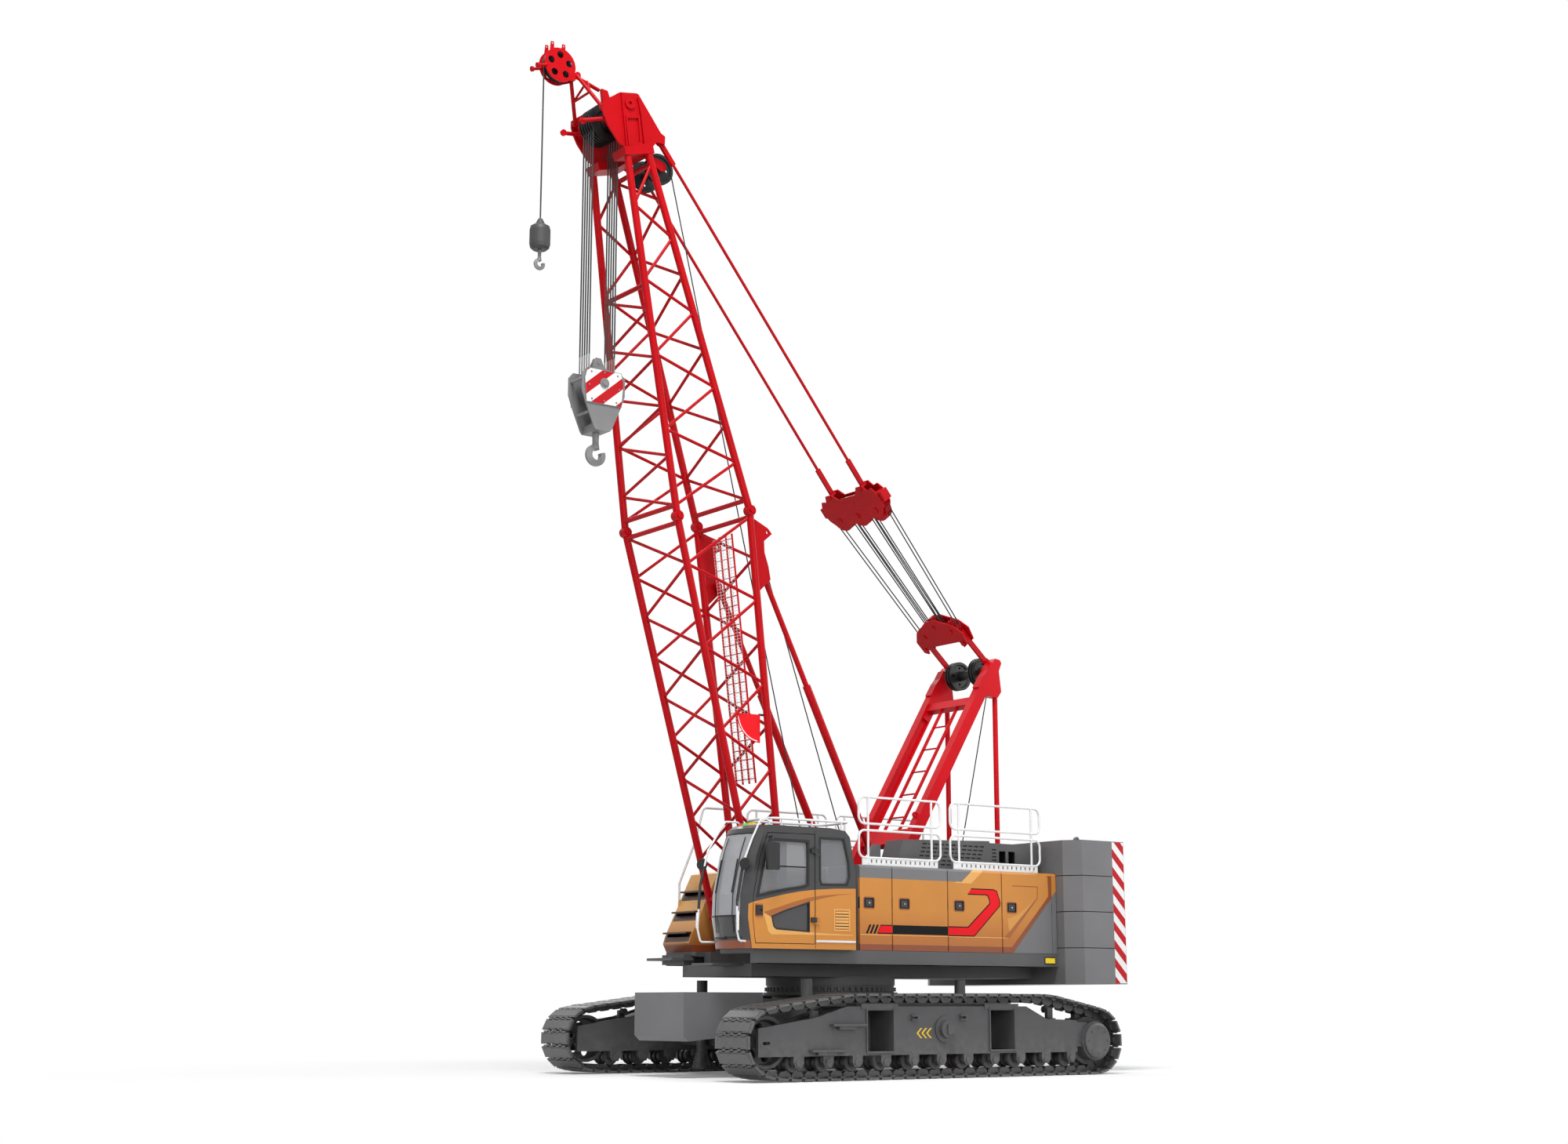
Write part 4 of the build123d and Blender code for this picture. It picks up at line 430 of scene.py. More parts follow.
surface("rope", ROPE, 0.55, metal=0.4, mottle=0.2, grain=120, bump=0.08)
surface("white", WHITE, 0.4, mottle=0.03, coat=0.2)
surface("rail_white", WHITE, 0.35, mottle=0.03, coat=0.2,
        zones=[(BLACK, [(1, 0, 0, 2.5), (0, 1, 0, 0.6), (0, 0, 1, 2.42), (0, 0, -1, -3.02)])])
surface("yellow", (0.75, 0.50, 0.02), 0.4, mottle=0.03)
surface("decal_red", (0.80, 0.006, 0.012), 0.4, mottle=0.02, specular=0.2)
surface("decal_black", (0.006, 0.006, 0.007), 0.5, mottle=0.05, specular=0.12)
# Slightly lighter amber for the curved painted highlight on the pressed triangle of the rear panel
surface("amber_glow", (0.67, 0.30, 0.058), 0.34, mottle=0.03, coat=0.25)
surface("stripe_red", (0.48, 0.008, 0.014), 0.45, mottle=0.03, specular=0.2)
surface("lamp_yellow", (0.85, 0.62, 0.02), 0.25, mottle=0.02, emit=0.15)
surface("lamp_green", (0.15, 0.75, 0.08), 0.25, mottle=0.02, emit=0.2)
surface("lamp_red", (0.75, 0.10, 0.06), 0.25, mottle=0.02, emit=0.15)
surface("cloth", (0.035, 0.036, 0.04), 0.85, mottle=0.12, grain=160, bump=0.1)
glass("pane", (0.26, 0.265, 0.28), 0.45)
glass("pane_dark", (0.045, 0.045, 0.05), 0.86)
SCREEN = [(1, 0, 0, 2.42), (0, 1, 0, 0.80), (0, -1, 0, -1.55)]
glass("cab_panes", (0.26, 0.265, 0.28), 0.45,
      zones=[((0.44, 0.445, 0.47), 0.62, SCREEN), ((0.035, 0.035, 0.038), 0.88, SCREEN + [(0, 0, -1, -2.29)])])


# ---- Mesh making ----
WELD = 0.00001
BEVEL_ANGLE = math.radians(40)


class Piece:
    """Faces of one object, put together in mesh code."""

    def __init__(self, name, body, material, bevel=0.0, angle=35, slot=None):
        self.name, self.body, self.bevel, self.angle, self.slot = name, body, bevel, angle, slot
        self.materials = material if isinstance(material, list) else [material]
        self.mesh = bmesh.new()
        self.index = 0

    def use(self, material):
        """Faces made from here on take this material."""
        self.index = self.materials.index(material)

    def face(self, verts):
        face = self.mesh.faces.new(verts)
        face.material_index = self.index
        return face

    def loft(self, rings, caps=True, closed=True):
        """Skin between rings of points; each ring runs the same way round."""
        rows = [[self.mesh.verts.new(p) for p in ring] for ring in rings]
        for one, two in zip(rows, rows[1:]):
            count = len(one)
            for i in range(count if closed else count - 1):
                j = (i + 1) % count
                self.face([one[i], one[j], two[j], two[i]])
        if caps:
            self.face(list(reversed(rows[0])))
            self.face(rows[-1])

    def prism(self, points, axis, a, b):
        """Outline in the plane across an axis, carried from a to b."""
        def put(p, q, c):
            return {"x": (c, p, q), "y": (p, c, q), "z": (p, q, c)}[axis]
        self.loft([[put(p, q, c) for p, q in points] for c in (a, b)])

    def box(self, lo, hi):
        self.prism([(lo[0], lo[1]), (hi[0], lo[1]), (hi[0], hi[1]), (lo[0], hi[1])], "z", lo[2], hi[2])

    def tube(self, points, radius, sides=10, closed=False):
        """Round tube along a path, with mitred corners."""
        points = [Vector(p) for p in points]
        count = len(points)
        rings = []
        normal = None
        for i, point in enumerate(points):
            before = points[i - 1] if (i or closed) else None
            after = points[(i + 1) % count] if (i + 1 < count or closed) else None
            into = (point - before).normalized() if before is not None else None
            out = (after - point).normalized() if after is not None else None
            along = ((into or out) + (out or into)).normalized()
            if normal is None:
                normal = along.orthogonal().normalized()
            normal = (normal - along * normal.dot(along)).normalized()
            cross = along.cross(normal)
            ring = []
            for k in range(sides):
                turn = 2 * math.pi * k / sides
                ring.append(point + (normal * math.cos(turn) + cross * math.sin(turn)) * radius)
            rings.append(ring)
        if closed:
            rings.append(rings[0])
        self.loft(rings, caps=not closed)

    def turned(self, start, end, profile, sides=24):
        """Turned shape along a line: profile is (distance from start, radius)."""
        start, end = Vector(start), Vector(end)
        along = (end - start).normalized()
        normal = along.orthogonal().normalized()
        cross = along.cross(normal)
        rings = []
        for distance, radius in profile:
            centre = start + along * distance
            rings.append([centre + (normal * math.cos(2 * math.pi * k / sides)
                                    + cross * math.sin(2 * math.pi * k / sides)) * radius for k in range(sides)])
        self.loft(rings)

    def rod(self, start, end, radius, sides=12):
        length = (Vector(end) - Vector(start)).length
        self.turned(start, end, [(0, radius), (length, radius)], sides)

    def done(self):
        """Object of the faces so far, riding on its body."""
        bmesh.ops.remove_doubles(self.mesh, verts=self.mesh.verts, dist=WELD)
        bmesh.ops.recalc_face_normals(self.mesh, faces=self.mesh.faces)
        data = bpy.data.meshes.new(self.name)
        self.mesh.to_mesh(data)
        self.mesh.free()
        for name in self.materials:
            data.materials.append(MATERIALS[name])
        for polygon in data.polygons:
            polygon.use_smooth = True
        data.set_sharp_from_angle(angle=math.radians(self.angle))
        thing = bpy.data.objects.new(self.name, data)
        bpy.context.collection.objects.link(thing)
        if self.bevel:
            edge = thing.modifiers.new("edge", "BEVEL")
            edge.width = self.bevel
            edge.segments = 2
            edge.limit_method = "ANGLE"
            edge.angle_limit = BEVEL_ANGLE
        if self.body:
            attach(thing, self.body)
        return thing


def repaint(material, *names):
    """Gives CAD nodes a finished material in place of their plain one."""
    for name in names:
        for place in NODES[name].material_slots:
            place.link = "OBJECT"
            place.material = MATERIALS[material]


# ---- Track shoes ----
SHOE_COUNT = 68
SHOE_HALF = 0.395
SHOE_FACE = 0.006
SHOE_THICK = 0.032
KNUCKLE_RADIUS = 0.019
KNUCKLE_DEPTH = 0.022
FRONT_KNUCKLES = (-0.27, -0.09, 0.09, 0.27)
REAR_KNUCKLES = (-0.18, 0.0, 0.18)
GUIDE_HORN = ((-0.10, 0.036), (-0.105, 0.09), (-0.06, 0.132), (0.06, 0.132), (0.105, 0.09), (0.10, 0.036))
CHAIN_LINK = ((-0.05, 0.036), (-0.03, 0.062), (0.03, 0.062), (0.05, 0.036))
ON_GROUND = 0.001
TRACK_Y = 2.36
LOOP_MIDDLE = Vector((0.0, 0, 0.6))
# Wheels that the outer line of the track goes round: x, z, radius
LOOP = [(2.650, 0.300, 0.300), (3.048, 0.530, 0.502), (1.650, 0.850, 0.350),
        (-2.050, 0.850, 0.350), (-3.048, 0.502, 0.502)]


def track_runs():
    """Straight and round runs of the outer line of the track."""
    angles = []
    for (x0, z0, r0), (x1, z1, r1) in zip(LOOP, LOOP[1:] + LOOP[:1]):
        heading = math.atan2(z1 - z0, x1 - x0)
        angles.append(heading - math.acos((r0 - r1) / math.hypot(x1 - x0, z1 - z0)))
    runs = []
    for i, (x, z, r) in enumerate(LOOP):
        into, out = angles[i - 1], angles[i]
        turn = (out - into) % (2 * math.pi)
        runs.append(("arc", (x, z, r, into, turn), r * turn))
        xn, zn, rn = LOOP[(i + 1) % len(LOOP)]
        a = (x + r * math.cos(out), z + r * math.sin(out))
        b = (xn + rn * math.cos(out), zn + rn * math.sin(out))
        runs.append(("line", (a, b), math.dist(a, b)))
    return runs


def track_place(runs, s):
    """Point on the outer line at distance s."""
    s %= sum(run[2] for run in runs)
    for kind, data, length in runs:
        if s <= length:
            break
        s -= length
    if kind == "arc":
        x, z, r, into, turn = data
        angle = into + turn * s / length
        return Vector((x + r * math.cos(angle), 0, z + r * math.sin(angle)))
    (x0, z0), (x1, z1) = data
    t = s / length
    return Vector((x0 + (x1 - x0) * t, 0, z0 + (z1 - z0) * t))


def track_shoes(side):
    """Shoes with interlocking knuckles, bolts, guide horns and chain links."""
    y_mid = TRACK_Y if side == "left" else -TRACK_Y
    runs = track_runs()
    pitch = sum(run[2] for run in runs) / SHOE_COUNT
    ground = 0
    for kind, data, length in runs:
        if kind == "line" and max(abs(z) for _, z in data) < ON_GROUND:
            ground += abs(data[0][0])
            break
        ground += length
    piece = Piece(f"track_shoes_{side}", "undercarriage", "steel", slot="track_steel")
    half = pitch / 2
    for i in range(SHOE_COUNT):
        a = track_place(runs, ground + (i - 0.5) * pitch)
        b = track_place(runs, ground + (i + 0.5) * pitch)
        middle = (a + b) / 2
        forward = (b - a).normalized()
        inward = Vector((0, 1, 0)).cross(forward)
        if inward.dot(LOOP_MIDDLE - middle) < 0:
            inward = -inward

        def at(u, v, depth):
            return middle + forward * u + Vector((0, y_mid + v, 0)) + inward * depth

        def block(u0, u1, v0, v1, d0, d1, taper=0.0):
            piece.loft([[at(u0, v0, d0), at(u1, v0 + taper, d0), at(u1, v1 - taper, d0), at(u0, v1, d0)],
                        [at(u0, v0, d1), at(u1, v0 + taper, d1), at(u1, v1 - taper, d1), at(u0, v1, d1)]])

        def knuckles(places, wide, u, u0, u1):
            """Hinge knuckles on a line at u, joined to the plate between u0 and u1."""
            for v in places:
                piece.tube([at(u, v - wide, KNUCKLE_DEPTH), at(u, v + wide, KNUCKLE_DEPTH)], KNUCKLE_RADIUS, 8)
                block(u0, u1, v - wide, v + wide, SHOE_FACE, SHOE_FACE + SHOE_THICK)

        reach = half - 0.026
        block(-reach, reach, -SHOE_HALF, SHOE_HALF, SHOE_FACE, SHOE_FACE + SHOE_THICK)
        block(-reach + 0.02, reach - 0.02, -SHOE_HALF + 0.02, SHOE_HALF - 0.02, 0.002, 0.008, 0.012)
        knuckles(FRONT_KNUCKLES, 0.05, half - 0.018, reach - 0.03, half - 0.016)
        knuckles(REAR_KNUCKLES, 0.036, -half + 0.012, -half + 0.012, -reach + 0.03)
        for v in (-0.33, 0.33):
            piece.tube([at(0.035, v, 0.0005), at(0.035, v, 0.01)], 0.014, 8)
        for places, wide, outline in (((-0.085, 0.085), 0.026, GUIDE_HORN), ((-0.22, 0.22), 0.04, CHAIN_LINK)):
            for v in places:
                piece.loft([[at(u, v + s * wide, d) for u, d in outline] for s in (-1, 1)])
    thing = piece.done()
    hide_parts(f"track_{side}")


# ---- Flat markings on the machine sides ----
SIDE_Y = 1.5
SEAMS = [0.600, -0.026, -1.131, -2.249, -3.320]
SEAM_HALF = 0.006


def clip(points, limit, keep_below):
    """Outline cut at X = limit."""
    inside = (lambda x: x <= limit) if keep_below else (lambda x: x >= limit)
    result = []
    for (x0, z0), (x1, z1) in zip(points, points[1:] + points[:1]):
        if inside(x0):
            result.append((x0, z0))
        if inside(x0) != inside(x1):
            t = (limit - x0) / (x1 - x0)
            result.append((limit, z0 + (z1 - z0) * t))
    return result


def marking(piece, material, points, lift):
    """Thin film on both machine sides, cut at the panel seams."""
    piece.use(material)
    for front, rear in zip(SEAMS, SEAMS[1:]):
        part = clip(clip(points, front - SEAM_HALF, True), rear + SEAM_HALF, False)
        if len(part) < 3:
            continue
        for side in (-1, 1):
            piece.prism(part, "y", side * (SIDE_Y - 0.001), side * (SIDE_Y + lift))


def side_markings():
    """Flat lines and bands of the machine sides."""
    films = ["amber_light", "brown", "amber_dark", "decal_red", "decal_black", "amber_glow"]
    piece = Piece("side_markings", "upperworks", films, slot="amber_paint")
    top, bottom = 3.056, 1.845
    edge = [(-2.448, 1.925), (-3.142, 2.623), (-3.248, 2.738), (-3.241, 3.04), (-3.21, top), (-3.3, top),
            (-3.315, 3.04), (-3.315, 2.703), (-3.192, 2.588), (-2.48, bottom)]
    marking(piece, "brown", edge, 0.0022)
    # Dark line along the creases of the pressed triangle near the rear: painted shade in the crease
    hook = [(-2.29, 2.068), (-2.40, 2.065), (-3.02, 2.70), (-3.02, 2.885), (-2.475, 2.885), (-2.475, 2.872),
            (-3.004, 2.872), (-3.004, 2.706)]
    marking(piece, "amber_dark", hook, 0.0026)
    # Curved light patch on the pressed triangle: painted highlight
    soft_highlight = [(-2.36, 2.36), (-2.59, 2.43), (-2.93, 2.66), (-2.58, 2.30), (-2.40, 2.12)]
    marking(piece, "amber_glow", soft_highlight, 0.0018)
    # Thin light line along the panel crease at 2.06 m: painted highlight
    marking(piece, "amber_light", [(0.59, 2.058), (0.59, 2.070), (-2.36, 2.070), (-2.36, 2.058)], 0.002)
    for k in range(3):
        x = 0.485 - 0.072 * k
        bar = [(x, 2.082), (x - 0.036, 2.082), (x - 0.104, 2.215), (x - 0.068, 2.215)]
        marking(piece, "decal_black", bar, 0.003)
    marking(piece, "decal_black", [(0.270, 2.082), (0.202, 2.215), (-0.026, 2.215), (-0.026, 2.082)], 0.003)
    marking(piece, "decal_red", [(0.255, 2.098), (0.203, 2.199), (-0.026, 2.199), (-0.026, 2.098)], 0.0036)
    marking(piece, "decal_black", [(-0.026, 2.082), (-0.026, 2.215), (-1.131, 2.215), (-1.131, 2.082)], 0.003)
    for seam in SEAMS[1:-1]:
        line = [(seam + 0.009, 1.850), (seam + 0.009, top), (seam - 0.009, top), (seam - 0.009, 1.850)]
        marking(piece, "decal_black", line, 0.0012)
    outer = [(-1.131, 2.088), (-1.655, 2.088), (-2.197, 2.562), (-2.200, 2.612), (-2.138, 2.776), (-2.076, 2.796),
             (-1.606, 2.796)]
    inner = [(-1.545, 2.728), (-1.925, 2.728), (-1.957, 2.722), (-2.003, 2.630), (-2.002, 2.582), (-1.541, 2.205),
             (-1.131, 2.205)]
    marking(piece, "decal_red", outer + inner, 0.003)
    rim = [(-1.131, 2.072), (-1.660, 2.072), (-2.213, 2.556), (-2.217, 2.616), (-2.150, 2.788), (-2.080, 2.812),
           (-1.612, 2.812)]
    marking(piece, "decal_black", rim + outer[::-1], 0.0034)
    rim = [(-1.538, 2.713), (-1.915, 2.713), (-1.944, 2.708), (-1.986, 2.628), (-1.985, 2.590), (-1.535, 2.221),
           (-1.131, 2.221)]
    marking(piece, "decal_black", inner + rim[::-1], 0.0034)
    piece.done()


def half_plane(points, a, c, d):
    """The part of an (x, z) outline where a x + c z > d."""
    result = []
    for (x0, z0), (x1, z1) in zip(points, points[1:] + points[:1]):
        s0, s1 = a * x0 + c * z0 - d, a * x1 + c * z1 - d
        if s0 > 0:
            result.append((x0, z0))
        if (s0 > 0) != (s1 > 0):
            t = s0 / (s0 - s1)
            result.append((x0 + (x1 - x0) * t, z0 + (z1 - z0) * t))
    return result


def stripes(piece, outline, lean, first, pitch, share, y0, y1):
    """Slanted stripes inside an outline, as films between y0 and y1: lean is the drop for each metre of x."""
    values = [z + lean * x for x, z in outline]
    k = math.floor((min(values) - first) / pitch)
    while first + k * pitch < max(values):
        low = first + k * pitch
        band = half_plane(half_plane(outline, lean, 1, low), -lean, -1, -low - share * pitch)
        if len(band) > 2:
            piece.prism(band, "y", y0, y1)
        k += 1


def hazard_stripes():
    """Red and white stripes on the rear corners of the counterweight."""
    piece = Piece("counterweight_stripes", "upperworks", ["white", "stripe_red"], slot="white_paint")
    front, rear, low, high = -4.28, -4.535, 1.375, 3.615
    outline = [(front, low), (front, high), (rear, high), (rear, low)]
    for side in (-1, 1):
        piece.use("white")
        piece.prism(outline, "y", side * 1.9195, side * 1.9205)
        piece.use("stripe_red")
        stripes(piece, outline, -1.0, 5.62, 0.29, 0.5, side * 1.9200, side * 1.9212)
    piece.done()


BLOCK_FACE = 0.225
BLOCK_X = 4.42


def block_stripes():
    """Red and white stripes on the covers of the hook block."""
    piece = Piece("block_stripes", "main_block", ["white", "stripe_red"], slot="white_paint")
    cover = ((0.292, 10.397), (0.335, 10.24), (0.303, 9.878), (-0.303, 9.878), (-0.335, 10.24), (-0.292, 10.397))
    outline = [(BLOCK_X + x, z) for x, z in cover]
    for side in (-1, 1):
        face = side * BLOCK_FACE
        piece.use("white")
        piece.prism(outline, "y", face, face + side * 0.001)
        piece.use("stripe_red")
        stripes(piece, outline, 0.84, 13.96, 0.36, 0.5, face, face + side * 0.0022)
    piece.done()


# ---- Cab ----
CAB_SIDE_Y = 1.610
SWOOSH_TOP = [(2.449, 2.345), (2.225, 2.407), (1.943, 2.493), (1.658, 2.568), (1.369, 2.611), (1.078, 2.636),
              (0.812, 2.650)]
SWOOSH_LOW = [(1.078, 2.625), (1.370, 2.571), (1.629, 2.512), (1.872, 2.427), (2.085, 2.365), (2.309, 2.282)]
# The lip outline is a light band along the foot of the cab side: painted highlight
LIP_LOW = [(2.449, 2.334), (2.365, 2.069), (2.309, 2.030), (1.516, 2.036), (0.817, 2.036)]
LIP_HIGH = [(0.817, 2.046), (1.516, 2.066), (1.631, 2.075), (2.197, 2.098), (2.267, 2.138), (2.309, 2.271)]
DOOR_PANE = [(2.535, 2.592), (2.296, 2.642), (2.014, 2.695), (1.729, 2.738), (1.661, 2.765), (1.660, 3.372),
             (2.321, 3.376), (2.430, 3.049)]
LOW_PANE = [(1.634, 2.088), (1.632, 2.497), (1.872, 2.424), (2.085, 2.362), (2.296, 2.282), (2.264, 2.152),
            (2.223, 2.120)]
REAR_PANE = [(0.932, 2.787), (0.887, 2.902), (0.901, 3.106), (0.986, 3.437), (1.417, 3.437), (1.417, 2.837),
             (1.396, 2.778)]
RIGHT_PANE = [(1.563, 2.723), (1.563, 3.417), (2.338, 3.417), (2.448, 3.048), (2.556, 2.623)]
# The gap between the door and the fixed side behind it
DOOR_REAR = 1.530
REAR_FRONT = 1.512


def offset(points, width):
    """Outline moved outwards by a width, with mitred corners."""
    area = sum(x0 * z1 - x1 * z0 for (x0, z0), (x1, z1) in zip(points, points[1:] + points[:1]))
    turn = 1 if area > 0 else -1
    result = []
    for i, (x, z) in enumerate(points):
        into = Vector((x - points[i - 1][0], z - points[i - 1][1])).normalized()
        after = points[(i + 1) % len(points)]
        out = Vector((after[0] - x, after[1] - z)).normalized()
        n0, n1 = Vector((into.y, -into.x)) * turn, Vector((out.y, -out.x)) * turn
        corner = (n0 + n1) / max(0.3, 1 + n0.dot(n1))
        result.append((x + corner.x * width, z + corner.y * width))
    return result


def gasket(piece, points, width, y0, y1):
    """Frame strip round an outline, inside it by a little and outside it by a width."""
    inner, outer = offset(points, -0.006), offset(points, width)
    rings = [[(x, y, z) for x, z in ring] for ring, y in ((outer, y0), (outer, y1), (inner, y1), (inner, y0))]
    piece.loft(rings + rings[:1], caps=False)


def film(piece, points, y, lift):
    """Thin sheet on the left side of the cab, lifted a little off its skin."""
    piece.prism(points, "y", y - 0.0005, y + lift)


def cab_trim():
    """Window frames, pressed lines, a painted highlight along the foot, strip and vent on the fixed part of the
    cab.
    """
    piece = Piece("cab_trim", "upperworks", ["black", "amber_dark", "amber_light", "white"], slot="black_plastic")
    gasket(piece, REAR_PANE, 0.026, CAB_SIDE_Y - 0.004, CAB_SIDE_Y + 0.004)
    gasket(piece, RIGHT_PANE, 0.026, 0.734, 0.726)
    film(piece, [(REAR_FRONT + 0.004, 1.84), (REAR_FRONT + 0.004, 3.55), (REAR_FRONT - 0.004, 3.55),
                 (REAR_FRONT - 0.004, 1.84)], CAB_SIDE_Y, 0.0008)
    piece.use("amber_dark")
    film(piece, clip(SWOOSH_TOP + SWOOSH_LOW, REAR_FRONT - 0.004, True), CAB_SIDE_Y, 0.0016)
    piece.use("amber_light")
    film(piece, clip(LIP_LOW + LIP_HIGH, REAR_FRONT - 0.004, True), CAB_SIDE_Y, 0.0016)
    gasket(piece, [(1.158, 2.112), (1.158, 2.408), (0.886, 2.408), (0.886, 2.112)], 0.012, CAB_SIDE_Y - 0.001,
           CAB_SIDE_Y + 0.005)
    for k in range(6):
        z = 2.135 + 0.044 * k
        piece.box((0.900, CAB_SIDE_Y - 0.001, z), (1.144, CAB_SIDE_Y + 0.006, z + 0.028))
    piece.use("white")
    piece.box((0.774, CAB_SIDE_Y - 0.001, 1.932), (1.502, CAB_SIDE_Y + 0.012, 1.962))
    piece.done()


def door_trim():
    """Panes, frames and bands of the cab door; the light band along its foot is a painted highlight."""
    piece = Piece("door_trim", "door", ["black", "amber_dark", "amber_light"], slot="black_plastic")
    gasket(piece, DOOR_PANE, 0.036, CAB_SIDE_Y - 0.004, CAB_SIDE_Y + 0.005)
    gasket(piece, LOW_PANE, 0.016, CAB_SIDE_Y - 0.004, CAB_SIDE_Y + 0.004)
    piece.box((1.672, CAB_SIDE_Y - 0.040, 3.0), (2.440, CAB_SIDE_Y - 0.022, 3.018))
    piece.use("amber_dark")
    film(piece, clip(SWOOSH_TOP + SWOOSH_LOW, DOOR_REAR + 0.004, False), CAB_SIDE_Y, 0.0016)
    film(piece, [(2.462, 2.278), (2.462, 2.462), (2.602, 2.462), (2.602, 2.278)], CAB_SIDE_Y, 0.0014)
    piece.use("amber_light")
    film(piece, clip(LIP_LOW + LIP_HIGH, DOOR_REAR + 0.004, False), CAB_SIDE_Y, 0.0016)
    piece.done()
    panes = Piece("door_panes", "door", ["pane", "pane_dark"], slot="cab_glass")
    panes.prism(DOOR_PANE, "y", CAB_SIDE_Y - 0.030, CAB_SIDE_Y - 0.022)
    panes.use("pane_dark")
    panes.prism(LOW_PANE, "y", CAB_SIDE_Y - 0.026, CAB_SIDE_Y - 0.018)
    panes.done()


# Round mirror, and the knob of a lever: distance from the start, radius
MIRROR = [(0, 0.02), (0.006, 0.085), (0.03, 0.09), (0.05, 0.05), (0.055, 0.01)]
KNOB = [(0, 0.01), (0.02, 0.03), (0.06, 0.03), (0.08, 0.01)]
CAB_MIDDLE_Y = 1.170
SCREEN_HALF = 0.350
BULGE_MIDDLE = 0.190
BULGE_FALL = 0.095


def bulge(y):
    """How far the windscreen stands forward of the cab's side outline, at one y."""
    return BULGE_MIDDLE - BULGE_FALL * ((y - CAB_MIDDLE_Y) / SCREEN_HALF) ** 2


def on_screen(y, z, lift):
    """Point in front of the windscreen."""
    outline = [(2.641, 1.830), (2.711, 2.261), (2.699, 2.594), (2.576, 3.156), (2.430, 3.550)]
    for (x0, z0), (x1, z1) in zip(outline, outline[1:]):
        if z <= z1:
            break
    return x0 + (x1 - x0) * (z - z0) / (z1 - z0) + bulge(y) + lift, y, z


def cab_front():
    """Wipers, screen bars, light bar and small mirrors at the front of the cab."""
    piece = Piece("cab_front", "upperworks", ["black", "bright", "lamp_red", "lamp_green", "lamp_yellow", "white"],
                  slot="black_plastic")
    for y in (1.05, 1.42):
        piece.tube([on_screen(y, z, 0.018) for z in (2.05, 2.30, 2.60, 2.90, 3.20, 3.42)], 0.007, 6)
        piece.tube([on_screen(y - 0.02, 2.62, 0.02), on_screen(y - 0.02, 3.10, 0.024)], 0.011, 6)
    piece.tube([on_screen(1.24, 2.0, 0.012), on_screen(1.24, 1.96, 0.030), on_screen(1.18, 1.96, 0.030)], 0.012, 8)
    for z in (1.985, 2.29, 3.475):
        piece.tube([on_screen(y, z, 0.004) for y in (0.83, 1.0, 1.17, 1.34, 1.51)], 0.012, 6)
    piece.use("white")
    piece.box((2.40, 0.90, 3.585), (2.46, 1.42, 3.612))
    for lamp, y0, y1 in (("lamp_red", 0.98, 1.08), ("lamp_green", 1.10, 1.22), ("lamp_yellow", 1.24, 1.34)):
        piece.use(lamp)
        piece.box((2.395, y0, 3.612), (2.455, y1, 3.645))
    piece.use("bright")
    for y, points in ((1.56, [(2.865, 2.35), (2.865, 2.24), (2.865, 2.08)]),
                      (0.78, [(3.030, 2.35), (3.036, 2.24), (3.040, 2.12)])):
        piece.tube([(x, y, z) for x, z in points], 0.019, 8)
    piece.use("black")
    for y, points in ((1.54, [(2.760, 3.043), (2.815, 2.76), (2.867, 2.482)]),
                      (0.80, [(2.950, 2.93), (3.001, 2.730), (3.025, 2.40)])):
        piece.tube([(x, y, z) for x, z in points], 0.021, 8)
    for x, y, z in ((2.93, 0.72, 3.05), (2.80, 1.62, 3.02)):
        centre = Vector((x, y, z))
        piece.turned(centre, centre + Vector((-0.5, -0.2, 0)), MIRROR, 16)
    piece.done()


CUSHION = [(1.23, 2.17), (1.22, 2.26), (1.30, 2.315), (1.62, 2.325), (1.71, 2.29), (1.72, 2.21), (1.66, 2.165)]
BACK_REST = [(1.24, 2.30), (1.15, 2.70), (1.10, 3.00), (1.13, 3.045), (1.19, 3.03), (1.25, 2.72), (1.34, 2.42),
             (1.34, 2.33)]
# Share of the full outline at each y across a pad
PAD_CROWN = ((0.945, 0.80), (0.960, 0.95), (1.00, 1.0), (1.17, 1.03), (1.34, 1.0), (1.38, 0.95), (1.395, 0.80))


def seat():
    """Operator's seat: base and consoles, with stuffed cushion and back."""
    base = Piece("seat_base", "upperworks", ["black", "cloth"], bevel=0.008, slot="black_plastic")
    levers = (0.865, 1.47)
    base.box((1.25, 0.97, 1.88), (1.65, 1.37, 2.16))
    for y0, y1 in ((0.80, 0.93), (1.41, 1.53)):
        base.box((1.30, y0, 1.88), (2.00, y1, 2.48))
    for y in levers:
        base.tube([(1.90, y, 2.48), (1.93, y, 2.66)], 0.012, 8)
    base.use("cloth")
    for y in levers:
        base.turned((1.93, y, 2.64), (1.93, y, 2.72), KNOB, 12)
    thing = base.done()
    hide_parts("cab_interior")
    for name, outline in (("seat_cushion", CUSHION), ("seat_back", BACK_REST)):
        pad = Piece(name, "upperworks", "cloth", angle=70, slot="black_plastic")
        middle = Vector((sum(x for x, _ in outline), sum(z for _, z in outline))) / len(outline)
        pad.loft([[(middle.x + (x - middle.x) * share, y, middle.y + (z - middle.y) * share) for x, z in outline]
                  for y, share in PAD_CROWN])
        thing = pad.done()
        soft = thing.modifiers.new("stuffed", "SUBSURF")
        soft.levels = soft.render_levels = 2


# ---- Small parts of the upperworks and undercarriage ----
LATCH_XS = (0.420, -0.265, -1.364, -2.458)
LATCH_Z = 2.535


def cut_corners(x, z, across, up):
    """Rectangle round (x, z) with cut corners: across and up are each (half size, half of the straight part)."""
    (a, a0), (b, b0) = across, up
    return [(x + a, z - b0), (x + a, z + b0), (x + a0, z + b), (x - a0, z + b),
            (x - a, z + b0), (x - a, z - b0), (x - a0, z - b), (x + a0, z - b)]


